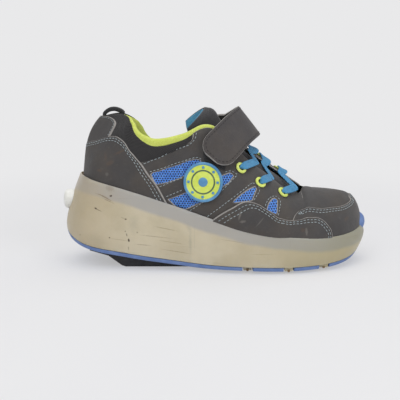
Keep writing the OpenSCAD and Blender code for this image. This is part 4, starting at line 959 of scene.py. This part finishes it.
WINDOWS_PX = [
    [(150.9, 174.5), (152.2, 173), (167, 168.2), (184.8, 162), (197, 159.5), (201, 160.8), (199, 166.5),
     (185.7, 174.5), (161.6, 183.4), (155.4, 184.3)],
    [(168.3, 199.5), (184.8, 193.2), (200, 190), (216, 190), (203, 202), (196.4, 203.9), (184.8, 209.3),
     (176.8, 207.5)],
    [(222, 176), (231, 172.9), (233.6, 175.5), (228.5, 182.5), (220, 188.2), (214, 190)],
    [(255.3, 186.6), (256.4, 188), (251.8, 200.3), (232.5, 203), (249, 189.5)],
    [(272.6, 199.1), (275.2, 198.2), (277.2, 199.8), (276.7, 214.2), (267.3, 209.8), (269, 203.5)],
]
windows = [cast(w) for w in WINDOWS_PX]
top_band = path(QUARTER_TOP)
quarter_loop = np.concatenate([
    path([(2.58, 0.02), (5.3, 0.02)], 3), path([(5.33, 0.06), (5.5, 0.28), (5.66, 0.46), (5.79, 0.58)]),
    top_band, path([(4.82, 1.0), (2.66, 1.0)], 2), path([(2.62, 0.97), (2.6, 0.6), (2.58, 0.06)], 3)])
for side, loop in pair(quarter_loop):
    holes = windows
    if side == "inner":
        holes = [mirror(w) for w in windows]
        higher = np.interp(loop[:, 0], [11.5, 12.0, 12.8, 13.25], [0, 0.06, 0.06, 0])
        loop[:, 1] += np.where(loop[:, 1] > 0.985, higher, 0)
    patch(f"quarter_{side}", loop, holes=holes, low=-0.9, grid=3.4,
          plain=lambda u, v: (fold_u(u) < 2.75) & (v < 0.74))
mesh_loop = path([(2.95, 0.1), (5.45, 0.1), (5.6, 0.4), (5.55, 0.7), (4.9, 0.8), (4.2, 0.72), (3.4, 0.66),
                  (2.98, 0.68), (2.9, 0.6), (2.95, 0.1)], 3)
for side, loop in pair(mesh_loop):
    patch(f"side_mesh_{side}", loop, ["blue_mesh"] * 2, top=-0.6, low=-1.3, grid=3.6, flat=True)

# Forefoot panel, closed along the ridge of the toes; its two ends fold in
VAMP_N, VAMP_M, VAMP_END = 120, 26, 2.62
vamp_u = np.linspace(-VAMP_END, VAMP_END, VAMP_N)[:, None]
low_v = np.interp(np.abs(vamp_u), *np.array(VAMP_LOW).T)
vamp_v = low_v + (1 - low_v) * np.linspace(0, 1, VAMP_M)
ends = [0, -1]
top_p = face(vamp_u, vamp_v, np.where(np.abs(vamp_u) > VAMP_END - 0.06, -0.25, 0.15))
low_p = face(vamp_u[ends], vamp_v[ends], -1.0)
faces = grid_faces(VAMP_N, VAMP_M)
ids = [0] * len(faces) + [1] * 2 * (VAMP_M - 1)
for row, below in ((0, VAMP_N), (VAMP_N - 1, VAMP_N + 1)):
    a, b = row * VAMP_M, below * VAMP_M
    faces += [(a + i, a + i + 1, b + i + 1, b + i) for i in range(VAMP_M - 1)]
vamp_mm = np.stack(np.broadcast_arrays(vamp_u, vamp_v), -1) * METRIC
build("vamp", np.concatenate([top_p, low_p]).reshape(-1, 3), faces, ["nubuck", "raw"], ids=ids,
      attrs={"mm": np.concatenate([vamp_mm, vamp_mm[ends]]).reshape(-1, 2)}, sharp=50)

CAP_PX = [(292.6, 220.8), (295.3, 215), (299.9, 210.6), (305.2, 208.7), (316.7, 208.4), (329, 207.8),
          (341.2, 206), (347.6, 202.8), (350, 199.4)]
cap_half = path(np.concatenate([cast(CAP_PX), [(0.42, 0.68), (0, 0.75)]]))
cap_loop = np.concatenate([path([(-2.96, 0.02), (2.96, 0.02)], 4), whole(cap_half, 0)])
patch("toe_cap", cap_loop, top=0.85, low=-0.9)

# Rubber bumper round the toe, above the sole lip
BUMPER_U, BUMPER_T = 0.38, 3.2
bumper_u, rise = np.linspace(-BUMPER_U, BUMPER_U, 48)[:, None], np.linspace(0, 1, 12)
off = np.abs(bumper_u) / BUMPER_U
low, high = 0.04 + 0.02 * np.abs(bumper_u), 0.32 - 0.12 * off ** 2
bumper_v = low + (high - low) * rise
swell = (1 - np.abs(2 * rise - 1) ** 2.4) * (1 - off ** 3)
front, back = face(bumper_u, bumper_v, 0.8 + BUMPER_T * swell), face(bumper_u, bumper_v, 0.3)
verts, faces = tube_mesh(np.concatenate([front, back[:, ::-1]], 1))
build("toe_bumper", verts, faces, ["tread"])

GUARD_PX = [(331.4, 231.5), (327.6, 225.2), (322.8, 220.4), (316.7, 217.7), (310.6, 217.9), (303, 219.2),
            (295, 220.6), (287.6, 220.6), (280, 218.2)]
guard_line = path(np.concatenate([[(1.88, 0.0)], cast(GUARD_PX), GUARD_BACK]))
for side, loop in pair(np.concatenate([guard_line, path([(4.46, 0.0), (1.92, 0.0)], 3)])):
    patch(f"mudguard_{side}", loop, top=1.45, low=-0.6)
counter_full = whole(path(COUNTER))
patch("heel_counter", np.concatenate([counter_full, path([(10.8, 0.0), (5.2, 0.0)], 3)]), top=1.05, low=-0.6)

# Collar panels: padded black mesh
COLLAR_N, COLLAR_M, COLLAR_FROM = 110, 22, 4.78
collar_u, up = np.linspace(COLLAR_FROM, HEEL, COLLAR_N)[:, None], np.linspace(0, 1, COLLAR_M)
low = np.interp(collar_u, *np.array(COLLAR_LOW).T)
collar_v = low + (1.0 - low) * up
wave = 0.14 * np.sin(collar_u * 9 + collar_v * 21) + 0.10 * np.sin(collar_u * 17 - collar_v * 34)
taper = np.clip((collar_u - 4.7) * 2.2, 0, 1) * np.interp(collar_u, [6.3, 6.9], [1, 0.3])
collar_d = -0.75 + (1.55 + wave) * np.clip(np.sin(np.pi * up), 0, 1) ** 0.8 * taper
collar_d[:, -1] -= 0.5
index = np.arange(COLLAR_N * COLLAR_M).reshape(COLLAR_N, COLLAR_M)
rim = np.concatenate([index[:, 0], index[-1, 1:], index[-2::-1, -1], index[0, -2:0:-1]])
sheet = grid_faces(COLLAR_N, COLLAR_M)
faces = sheet + [tuple(index.size + i for i in q[::-1]) for q in sheet]
faces += [(a, b, b + index.size, a + index.size) for a, b in zip(rim, np.roll(rim, -1))]
mm = (np.stack(np.broadcast_arrays(collar_u, collar_v), -1) * METRIC).reshape(-1, 2)
for side, place in (("outer", collar_u), ("inner", TURNS - collar_u)):
    verts = np.concatenate([face(place, collar_v, collar_d), face(place, collar_v, -1.6)]).reshape(-1, 3)
    build(f"collar_{side}", verts, faces, ["collar"], attrs={"mm": np.concatenate([mm, mm])})

tab_half = path([(6.86, 0.58), (6.9, 0.74), (6.91, 0.82), (6.96, 0.88), (7.29, 0.93), (7.79, 0.965),
                 (8.0, 0.97)])
tab_loop = np.concatenate([whole(tab_half), path([(9.1, 0.52), (8, 0.47), (6.9, 0.52)], 3)])
patch("heel_tab", tab_loop, top=0.9, low=-1.2, rim=0.5)

# Lining: from behind the collar over a padded roll and down the inside; share of the height, depth
ROLLED = [(0.86, -1.8), (0.94, -1.5), (0.985, -0.9), (1.005, 0.0), (1.03, 0.75), (1.055, 0.55), (1.073, -0.6),
          (1.08, -2.2), (1.07, -3.9), (1.045, -5.2), (1.0, -6.2), (0.94, -6.5), (0.86, -6.1), (0.74, -5.4),
          (0.6, -5.0), (0.4, -5.0), (0.2, -5.0), (0.04, -5.0)]
THIN = [(0.86, -2.2), (0.9, -2.3), (0.94, -2.4), (0.965, -2.6), (0.98, -2.9), (0.99, -3.2), (0.992, -3.5),
        (0.99, -3.9), (0.98, -4.4), (0.96, -4.8), (0.93, -5.2), (0.9, -5.4), (0.84, -5.4), (0.74, -5.2),
        (0.6, -5.0), (0.4, -5.0), (0.2, -5.0), (0.04, -5.0)]
# How full the roll is: place round the sole, share
FULLNESS = [[4.4, 0.86], [4.8, 0.86], [5.0, 0.84], [5.4, 0.78], [6.0, 0.6], [6.4, 0.5], [7.0, 0.44],
            [8, 0.42]]
INNER_SHARE = [[8.1, 1], [8.7, 0.6], [9.3, 0.25], [10.6, 0.25], [11.3, 0.5], [11.8, 0.3]]
LINING_N, LINING_M, LINING_FROM, HEIGHT_MM = 300, 70, 2.56, 60


def lining_section(points):
    p = along(np.array(points) * [HEIGHT_MM, 1], 0.8) / [HEIGHT_MM, 1]
    return sample(np.linspace(0, 1, LINING_M), np.linspace(0, 1, len(p)), p)


place = np.linspace(LINING_FROM, TURNS - LINING_FROM, LINING_N)[:, None]
folded = fold_u(place)
roll = np.clip((folded - 4.05) * 4, 0, 1) * np.interp(folded, *np.array(FULLNESS).T)
roll = roll * np.interp(place, *np.array(INNER_SHARE).T)
rolled, thin = lining_section(ROLLED), lining_section(THIN)
v, depth = (thin[:, c] + (rolled - thin)[:, c] * roll for c in (0, 1))
v = v * (1 - 0.3 * np.clip((4.2 - folded) * 4, 0, 1))
depth = depth + 0.16 * np.sin(place * 23) * np.clip((v - 0.9) * 8, 0, 1)
tall = np.linalg.norm(face(place, 1.0) - face(place, 0.5), axis=-1) * 2
v = np.where(v > 0.9, 0.9 + (v - 0.9) * (58 / tall), v)
build("lining", face(place, v, depth).reshape(-1, 3), grid_faces(LINING_N, LINING_M), ["lime"],
      sharp=80)


# Tongue: arched pad with a lining on its inner face

def throat_mid(w):
    return (face(w, 1.0) + face(TURNS - w, 1.0)) / 2


def throat_gap(w):
    return face(TURNS - w, 1.0) - face(w, 1.0)


def throat_half(w):
    return np.linalg.norm(throat_gap(w)) / 2


def throat_up(w):
    return unit(np.cross(unit(throat_gap(w)), throat_mid(w + 0.1) - throat_mid(w - 0.1)))


TONGUE_TOP = np.array([HEEL_X + SOLE_LEN * 0.47, 0, COLLAR_H + 5.0])
TONGUE_SINK, ARCH, CORNER, TIP = 1.6, math.radians(80), 0.15, 10.4
THROAT_LOW, THROAT_TOP, TONGUE_FROM, TONGUE_RINGS = 2.75, 4.4, 0.2, 84


def station(place, mid, side, up, wide, drop, thick):
    return [place, *mid, *side, *up, wide, drop, thick]


throat = throat_mid(THROAT_LOW)
tongue_line = [
    station(0, throat + [12, 0, -7 - INNER_D], [0, 1, 0], [0.3, 0, 0.95], 11, 3, TONGUE_T / 2),
    station(1, throat + [0, 0, -4.2], unit(throat_gap(THROAT_LOW)), [0.4, 0, 0.92],
            throat_half(THROAT_LOW) + 4, 5, TONGUE_T * 0.6)]
for w in (3, 3.4, 3.75, 4.1):
    mid = throat_mid(w) + throat_up(w) * np.interp(w, [3.4, 3.75, 4.1], [0, 0.8, 3.2])
    tongue_line.append(station((w - THROAT_LOW) * 4 + 1, mid, unit(throat_gap(w)), throat_up(w),
                               throat_half(w) + 4.5, 12, TONGUE_T * 0.7))
throat = throat_mid(THROAT_TOP)
tongue_line += [
    station(7.6, throat + [10.5, 0, -1], [0, 1, 0], [0.72, 0, 0.69], 16, 14, TONGUE_T),
    station(9, (throat + TONGUE_TOP) / 2 + [5, 0, 2.9], [-0.05, 1, 0.08], [0.76, 0, 0.65], 16.5, 25,
            TONGUE_T * 1.1),
    station(TIP, TONGUE_TOP, [-0.06, 1, 0.1], [0.77, 0, 0.638], 17.5, 19.5, TONGUE_T * 0.7)]


def tongue_ring(s, lo, hi, n=33):
    """Closed section of the tongue between two shares of its thickness; its upper corners are rounded off."""
    a = np.linspace(-ARCH, ARCH, n)
    off = np.abs(a) / ARCH
    c = curve(tongue_line, s - CORNER * off ** 2.2 * min(1, max(0, s - 6.5) / 3.9))
    mid, y = c[:, :3], unit(c[:, 3:6])
    up = square(c[:, 6:9], y)
    wide, deep, thick = c[:, 9] / math.sin(ARCH), c[:, 10] / (1 - math.cos(ARCH)), c[:, 11]
    nn = unit(np.stack([np.sin(a) * deep, np.cos(a) * wide], 1))
    sag, peak = 1 - np.cos(a), 0.7 * min(1, max(0, s - 7) / 2)
    sag = sag + (off ** 1.25 * (1 - math.cos(ARCH)) - sag) * peak * np.minimum(1, np.abs(a) / 0.25)
    centre = (lo + hi) / 2
    out = []
    for edge in (lo, hi):
        t = thick * (centre + (edge - centre) * (0.25 + 0.75 * (1 - off ** 6)))
        out.append(mid + y * (wide * np.sin(a) - nn[:, 0] * t)[:, None]
                   - up * (TONGUE_SINK + deep * sag + nn[:, 1] * t)[:, None])
    return np.concatenate([out[0], out[1][::-1]])


def tongue_piece(name, lo, hi, mat, swell):
    rings = []
    mid = (lo + hi) / 2
    for s in np.linspace(TONGUE_FROM, TIP, TONGUE_RINGS):
        end = min(1, (TIP - s) / 0.5) ** 0.5
        quilt = swell * (0.5 + 0.5 * math.cos(s * 2.6)) * min(1, max(0, s - 7) / 1.2) * end
        full = 0.3 + 0.7 * end
        rings.append(tongue_ring(s, mid + (lo - quilt - mid) * full, mid + (hi - mid) * full))
    m = len(rings[0])
    faces = grid_faces(len(rings), m, wrap_m=True)
    for k in (0, (len(rings) - 1) * m):
        faces += [(k + j, k + j + 1, k + m - 2 - j, k + m - 1 - j) for j in range(m // 2 - 1)]
    return build(name, np.concatenate(rings), faces, [mat], sharp=80)


tongue_piece("tongue", -0.05, 0.72, "tongue", 0.22)
tongue_piece("tongue_lining", 0.74, 1.12, "tongue_blue", 0.0)


# Lace: one flat ribbon in and out of the eyelets, row by row

EYELET_UP = 0.55
LACE_UP, LACE_UNDER = EYELET_UP + 0.9 + SEAM + LACE_T / 2, 2.1
LACE_SHOW, LACE_PINCH = 6.0, LACE_W * 0.46
TO_VIEW = np.array([0, -1.0, 0.25])
BOW_W, BOW_TILT = [3.46, 3.18, 2.82], [-0.12, -0.12, 0.3]
# Each row folds twice: near fold, far fold and the flat run before it, as picture points with their depth
ROW_PX = [((256.2, 161.2, -13), (250.0, 151.4, -5), (254.4, 149.4, 3)),
          ((271.5, 176.8, -13), (263.6, 164.4, -4), (266.6, 160.4, 3)),
          ((295.0, 187.2, -11), (280.5, 172.6, -1), (283.2, 169.8, 4))]
ROWS = [[on_plane(*q) for q in row] for row in ROW_PX]


def eye(e, d):
    return face(*e) + face_out(*e) * d


def toward(e, f):
    return unit(eye(f, 0) - eye(e, 0))


def thread(e, to, b):
    """Down through an eyelet from the side of a point, then along b below the panel."""
    n = face_out(*e)
    a = square(to - eye(e, 0), n)
    return [(eye(e, LACE_UP) + a * 5, n, LACE_SHOW),
            (eye(e, LACE_UP + 0.2) + a * 2.6, n - a * 0.1, LACE_SHOW * 0.95),
            (eye(e, LACE_UP - 0.4) + a * 1.1, n - a * 0.9, LACE_SHOW * 0.78),
            (eye(e, 0.4) + a * 0.1, b - a, LACE_PINCH * 1.3),
            (eye(e, -OVERLAY_T) + b * 0.3, b - a, LACE_PINCH),
            (eye(e, -LACE_UNDER) + b * 2.4, n, LACE_PINCH), (eye(e, -LACE_UNDER) + b * 5, n, LACE_PINCH)]


def bow(i):
    """Slack bow of a row: it lies on edge toward the outer side, as the picture shows."""
    up = throat_up(BOW_W[i])
    near, top, end = ROWS[i]
    flat, half_turned, edge = (unit(up + k * TO_VIEW) for k in (0.9, 0.5, BOW_TILT[i]))
    band = unit(eye(EYES_OUT[i], LACE_UP) - near)
    return [(end, flat, LACE_SHOW * 1.25), (top + (end - top) * 0.25, half_turned, LACE_SHOW),
            (top, edge, LACE_SHOW * 0.8), (top + (near - top) * 0.5, edge, LACE_SHOW * 0.8),
            (near, edge, LACE_SHOW * 0.9), (near + band * 2.6, flat, LACE_SHOW)]


def under_run(e, f):
    mid = (np.array(e) + f) / 2
    return [(eye(mid, -LACE_UNDER), face_out(*mid), LACE_W / 2)]


def tail(e, b):
    return [(eye(e, -LACE_UNDER) + b * 8, face_out(*e), LACE_W / 2)]


IN, OUT = EYES_IN, EYES_OUT
in_way, out_way = ([toward(e[0], e[1]), toward(e[1], e[2])] for e in (IN, OUT))
lace_line = (tail(IN[0], -in_way[0]) + thread(IN[0], ROWS[0][2], -in_way[0])[:0:-1] + bow(0)
             + thread(OUT[0], ROWS[0][0], out_way[0]) + under_run(OUT[0], OUT[1])
             + thread(OUT[1], ROWS[1][0], -out_way[0])[::-1] + bow(1)[::-1]
             + thread(IN[1], ROWS[1][2], in_way[1])[1:] + under_run(IN[1], IN[2])
             + thread(IN[2], ROWS[2][2], -in_way[1])[:0:-1] + bow(2)
             + thread(OUT[2], ROWS[2][0], out_way[1]) + tail(OUT[2], out_way[1]))

BAND = np.array([(-1, 0), (-0.97, 0.55), (-0.86, 0.92), (-0.5, 1.0), (0, 0.9), (0.5, 1.0),
                 (0.86, 0.92), (0.97, 0.55), (1, 0), (0.97, -0.55), (0.86, -0.92),
                 (0.4, -1), (-0.4, -1), (-0.86, -0.92), (-0.97, -0.55)])


def ribbon(name, points, normals, widths, thick, mat, slot, pieces=6):
    """Flat woven band with rounded edges along a smooth path."""
    p = np.array(points, float)
    run = run_of(p)
    steps = [np.linspace(a, b, pieces, endpoint=False) for a, b in zip(run, run[1:])]
    at = np.concatenate([*steps, run[-1:]])

    def smooth(values, places):
        return curve(np.column_stack([run, values]), places)
    c = smooth(p, at)
    t = unit(smooth(p, np.minimum(at + 0.1, run[-1])) - smooth(p, np.maximum(at - 0.1, 0)))
    n = square(smooth(normals, at), t)
    across = smooth(widths, at)[:, None] / 2 * BAND[:, 0]
    deep = np.interp(at, run, np.broadcast_to(thick, len(run)))[:, None] / 2
    verts, faces = tube_mesh(sweep(c, np.cross(n, t), n, across, deep * BAND[:, 1]))
    mm = np.stack(np.broadcast_arrays(at[:, None], across), -1).reshape(-1, 2)
    mm = np.concatenate([mm, mm[:1], mm[-1:]])
    return build(name, verts, faces, [mat], attrs={"mm": mm}, sharp=70)


ribbon("lace", *zip(*lace_line), LACE_T, "lace", "lace_blue")

# Pull loop at the heel, from behind the heel patch to inside the lining
LOOP_D, LOOP_W = OVERLAY_T + SEAM * 1.8 + 0.4, 7.0
LOOP_ARC = np.array([(0.06, 0, 0.4), (0.56, 0, 0.76), (1.2, 0, 0.78), (1.75, 0, 0.42)])
LOOP_T = [0.8, 0.9, 1.4, 2.7, 3.2, 3.2, 3.0, 2.0, 1.4, 1.2]
behind = face(HEEL, [0.82, 0.9, 0.98], -LOOP_D)
inside = face(HEEL, [1.0, 0.9, 0.8], -INNER_D - np.array([5.5, 3.5, 3.3]))
loop_pts = np.concatenate([behind, behind[-1] + LOOP_R * LOOP_ARC, inside])
loop_t = unit(np.gradient(loop_pts, axis=0))
ribbon("pull_loop", loop_pts, np.cross(loop_t, [0, 1, 0]), [LOOP_W] * len(loop_pts), LOOP_T, "webbing",
       "webbing_black", 8)


# Badge: rim, disc, ring and raised dots, standing on the side panel

def lathe(profile, n):
    r, z = np.array(profile).T
    a = (np.arange(n) * 2 * math.pi / n)[:, None]
    v = np.stack(np.broadcast_arrays(np.cos(a) * r, np.sin(a) * r, z), -1)
    return v.reshape(-1, 3), grid_faces(n, len(r), wrap_n=True)


BADGE_R, BADGE_DOTS, DOTS_AT = BADGE_D / 2, 8, 0.735
LIME, BLUE, DARK = range(3)
# Radius as a share of the badge's, height and tone
BADGE_RINGS = [
    ([(0.01 / BADGE_R, 0.9), (0.52, 0.95), (0.535, 0.95)], LIME),
    ([(0.535, 0.95), (0.555, 0.72), (0.595, 0.72), (0.615, 0.95)], DARK),
    ([(0.615, 0.95), (0.8, 0.98), (0.855, 0.95)], LIME),
    ([(0.855, 0.95), (0.87, 1.3), (0.9, 1.5), (0.95, 1.5), (0.985, 1.25), (1, 0.7), (0.985, 0.1),
      (0.95, -0.6)], BLUE)]
HUB = [(0.01 / BADGE_R, 1.5), (0.16, 1.45), (0.22, 1.25), (0.24, 0.85)]
DOT = [(0.01, 1.75), (0.5, 1.72), (0.85, 1.55), (1.0, 1.3), (1.05, 0.9)]
parts = [(*lathe(np.array(ring) * [BADGE_R, 1], 96), tone) for ring, tone in BADGE_RINGS]
for a in np.arange(BADGE_DOTS) * 2 * math.pi / BADGE_DOTS:
    v, f = lathe(DOT, 20)
    parts.append((v + BADGE_R * DOTS_AT * np.array([math.cos(a), math.sin(a), 0]), f, BLUE))
parts.append((*lathe(np.array(HUB) * [BADGE_R, 1], 40), BLUE))
verts, faces, ids = join(parts)
out = face_out(*BADGE_AT)
x = unit(np.cross([0, 0, 1], out))
build("side_badge", face(*BADGE_AT, SEAM) + verts @ np.stack([x, np.cross(out, x), out]), faces,
      ["badge_lime", "badge_blue", "badge_dark"], ids=ids, sharp=35)


# Instep strap: one band in place of the flap and its base

STRAP_OFF = GRIP_T * 2 + EYELET_UP + SEAM * 2 + STRAP_T / 2 + 0.8
STRAP_MID = np.array([HEEL_X + SOLE_LEN * 0.603, 0, TOE_H + (COLLAR_H - TOE_H) * 0.89])
STRAP_OUT = unit([0.784, 0, 0.62])
END_R, SEW_IN, SEW_TO, FOLD_HALF = 10.5, 2.1, 58, 3.5
INNER_TOP, INNER_LOW = TURNS - 4.26, TURNS - 4.47
strap_path = np.column_stack([range(7), [
    face(4.44, 0.655, STRAP_OFF), face(4.19, 0.865, STRAP_OFF + 0.4), STRAP_MID + [-8, -15, -5], STRAP_MID,
    STRAP_MID + [-8, 15, -5], face(INNER_TOP, 0.88, 5.5), face(INNER_LOW, 0.62, STRAP_T / 2 + 1.6)]])
strap_lean = np.column_stack([range(7), [
    face_out(4.44, 0.655), face_out(4.19, 0.8), unit(face_out(4.19, 0.9) + STRAP_OUT), STRAP_OUT,
    unit(face_out(INNER_TOP, 0.9) + STRAP_OUT), face_out(INNER_TOP, 0.8), face_out(INNER_LOW, 0.62)]])


def strap_frame(s):
    """Points of the strap's middle line with its two axes."""
    d = unit(curve(strap_path, np.minimum(s + 0.05, 6)) - curve(strap_path, np.maximum(s - 0.05, 0)))
    n = square(curve(strap_lean, s), d)
    return curve(strap_path, s), np.cross(n, d), n


fine = np.linspace(0, 6, 1200)
fine_run = run_of(curve(strap_path, fine))
run_at = np.concatenate([np.linspace(0.02, 2.5, 14), np.linspace(3, END_R, 14),
                         np.linspace(END_R + 1.2, fine_run[-1], 80)])
rounding = np.clip(1 - run_at / END_R, 0, 1)
half_w = STRAP_W / 2 - END_R * (1 - np.sqrt(1 - rounding * rounding))
cross_x = np.array([-1, -0.985, -0.95, -0.8, -0.55, -0.25, 0, 0.25, 0.55, 0.8, 0.95, 0.985, 1])
cross_z = np.array([0.55, 0.85, 1.0, 1.06, 1.1, 1.12, 1.12, 1.12, 1.1, 1.06, 1.0, 0.85, 0.55])
across = np.concatenate([cross_x, cross_x[::-1]])
end_thin = np.interp(run_at, [0, 0.6, 1.4], [0.55, 0.85, 1.0])[:, None]
high = np.concatenate([cross_z * end_thin, np.full((len(run_at), len(cross_x)), -1.0)], 1) * STRAP_T / 2
axes = strap_frame(np.interp(run_at, fine_run, fine))
verts, faces = tube_mesh(sweep(*axes, half_w[:, None] * across, high))
m, top_m = len(across), len(cross_x)
near_side, far_side = {0, 1, m - 2, m - 1}, {top_m - 2, top_m - 1, top_m, top_m + 1}
ids = []
for q in faces:
    columns = {i % m for i in q if i < len(run_at) * m}
    at_end = min(q) // m < 2 and max(columns) < top_m
    ids.append(int(columns <= near_side or columns <= far_side or at_end or len(q) == 3))
strap = build("strap", verts, faces, ["strap", "raw"], ["strap_flap", "strap_base"], ids,
              body=None)
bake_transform(strap)

strap_sew = Stitches()
sew_half, sew_r = STRAP_W / 2 - SEW_IN, END_R - SEW_IN
a = np.linspace(0, math.pi / 2, 14)
row = np.concatenate([np.column_stack([np.linspace(SEW_TO, END_R, 60), np.full(60, sew_half)]),
                      np.column_stack([END_R - sew_r * np.sin(a), STRAP_W / 2 - END_R + sew_r * np.cos(a)])])
row = np.concatenate([row, (row * [1, -1])[::-1]])
p, y, n = strap_frame(np.interp(row[:, 0], fine_run, fine))
pts = along(p + y * row[:, 1:] + n * STRAP_T / 2 * 1.06, 0.8)
strap_sew.line(pts, sample(np.linspace(0, 1, len(pts)), np.linspace(0, 1, len(n)), n), 1.9, 0.9, 0.22)
strap_sew.make("strap_stitches", "strap", "dark_thread")

# Hook and loop halves
HOOK = np.array([(-1, 0.6), (-0.9, 1), (0, 1), (0.9, 1), (1, 0.6), (1, -0.6), (0.9, -1), (0, -1), (-0.9, -1),
                 (-1, -0.6)])
hook_z = -STRAP_T / 2 - SEAM / 2 - GRIP_T / 2 + GRIP_T / 2 * HOOK[:, 1]
hook_x = STRAP_W / 2 * 0.55 * HOOK[:, 0]
verts, faces = tube_mesh(sweep(*strap_frame(np.linspace(0.1, 0.9, 16)), hook_x, hook_z))
build("hook_patch", verts, faces, ["grip"], body="strap")
grip_loop = path([(4.18, 0.6), (4.4, 0.6), (4.56, 0.64), (4.6, 0.7), (4.57, 0.76), (4.4, 0.82),
                  (4.2, 0.8), (4.16, 0.7), (4.18, 0.6)], 2)
patch("loop_patch", grip_loop, ["grip", "grip"], top=1.5, low=-0.5, grid=2.5)


# Stitching

sewn = Stitches()
for off in (2.0, 4.0):
    sewn.on_upper(counter_full, 1.08, off, -1)
    sewn.both(guard_line[4:-6], 1.48, -off)
    sewn.on_upper(whole(cap_half[6:], 0), 0.88, off, 1)
sewn.both(top_band[2:-1], 0.03, 1.7)
STITCH_PX = [
    [(149, 171.8), (163, 168), (180, 162), (197.3, 157.5), (201.7, 159.5)],
    [(158.9, 187), (172, 181.6), (184.8, 176.3)],
    [(165.6, 196.8), (175, 193), (183.5, 189.2)],
    [(189.3, 211.1), (199.1, 204.8), (206, 200.5)],
    [(224.6, 172.3), (231, 171), (236.8, 174.2), (234.8, 177.4), (228, 184.5), (220.8, 191.4), (210, 199.5)],
    [(206.8, 217), (222, 206), (238, 194), (252, 183)],
    [(252, 183), (257, 184.3), (259.6, 189.9), (256.5, 196), (253, 201.4)],
    [(265, 206.7), (267, 201.5), (270.3, 197.5), (276.5, 196.4), (280.3, 200.6), (279.5, 209), (278, 217)],
]
for row in STITCH_PX:
    sewn.both(cast(row), 0.03, length=1.7)
sewn.on_upper(tab_half[6:], 0.93, 1.3, -1, length=1.2, gap=1.0, r=0.18)
sewn.make("stitching")


# Construction shown as it is

SHOWN = {
    "board": ["lasting_board"], "eyelet": ["eyelets"], "alloy": ["swing_arm"], "tyre": ["wheel_tyre"],
    "housing": ["wheel_housing", "wheel_hub", "latch_slide"], "button": ["release_button"],
    "race": ["bearing_inner_rings", "bearing_outer_rings", "bearing_balls"],
    "steel": ["housing_screws", "pivot_pin", "arm_spring", "wheel_axle", "axle_nut", "axle_washers",
              "bearing_spacer", "button_spring"],
}
for mat, nodes in SHOWN.items():
    for node in nodes:
        data = frame["nodes"][node].data
        data.materials.clear()
        data.materials.append(M[mat])
        data.shade_smooth()
        data.set_sharp_from_angle(angle=math.radians(SHOWN_SHARP))
# The button's spring: its points in place, and a mesh of its own
spring = frame["nodes"]["button_spring"]
ends = np.array([spring.matrix_world @ v.co for v in spring.data.vertices])
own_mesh(spring)


# Stage, light and camera, in metres

def backdrop():
    """Paper sweep that keeps the object's shadow and shows an even pale tone away from it."""
    bend, start, deep, wide, tall = 0.8, 1.1, 2.2, 3.0, 3.0
    arc = [(start + bend * math.sin(t), bend - bend * math.cos(t)) for t in np.linspace(0, math.pi / 2, 16)]
    prof = [(-deep, 0.0), *arc, (start + bend, tall)]
    verts = [(x / MM, y / MM, z / MM) for y, z in prof for x in (-wide, wide)]
    me = new_mesh("backdrop", verts, [(2 * i, 2 * i + 1, 2 * i + 3, 2 * i + 2) for i in range(len(prof) - 1)])
    k = Mat("backdrop_paper", rgb(236, 236, 238), 0.95, Specular_IOR_Level=0.1)
    k.set("Base Color", k.mottle(rgb(228, 228, 231), rgb(231, 231, 233), 3, 0.4, 0.6, 3))
    glow = k.add("Emission", Color=rgb(234, 234, 235), Strength=1.0)
    kind = k.add("LightPath").outputs
    shiny = k.math("MAXIMUM", kind["Is Glossy Ray"], kind["Is Transmission Ray"])
    direct = k.math("MAXIMUM", kind["Is Camera Ray"], shiny)
    seen = k.math("MULTIPLY", direct, k.span(k.vec("LENGTH", k.where), 0.2, 0.55, 0.5, 0.97))
    both = k.add("MixShader", seen, k.b.outputs[0], glow.outputs[0])
    k.put(k.t.nodes["Material Output"].inputs["Surface"], both.outputs[0])
    me.materials.append(k.m)
    me.shade_smooth()
    new_object("backdrop", me)


def area_light(name, place, target, size, power):
    data = bpy.data.lights.new(name, "AREA")
    data.shape, data.size, data.energy = "DISK", size, power
    obj = new_object(name, data)
    obj.location = place
    obj.rotation_euler = (Vector(target) - Vector(place)).to_track_quat("-Z", "Y").to_euler()


backdrop()
area_light("key", (-0.5, -1.0, 1.3), (0, 0, 0.05), 1.2, 8)
area_light("top", (0.1, 0.2, 1.6), (0, 0, 0.0), 1.8, 9.8)
area_light("fill", (1.0, -1.1, 0.7), (0, 0, 0.05), 1.0, 6.8)
world = bpy.data.worlds.new("studio")
world.use_nodes = True
sky = world.node_tree.nodes["Background"].inputs
sky[0].default_value, sky[1].default_value = (1, 1, 1, 1), 0.42
scene = bpy.context.scene
scene.world = world
scene.view_settings.view_transform = "Standard"
cam = bpy.data.cameras.new("camera")
cam.sensor_width = 36
cam.lens = FPX / PICTURE * cam.sensor_width
cam_obj = new_object("camera", cam)
cam_obj.location = tuple(CAM * MM)
cam_obj.rotation_euler = (math.pi / 2 - PITCH, 0, 0)
scene.camera = cam_obj
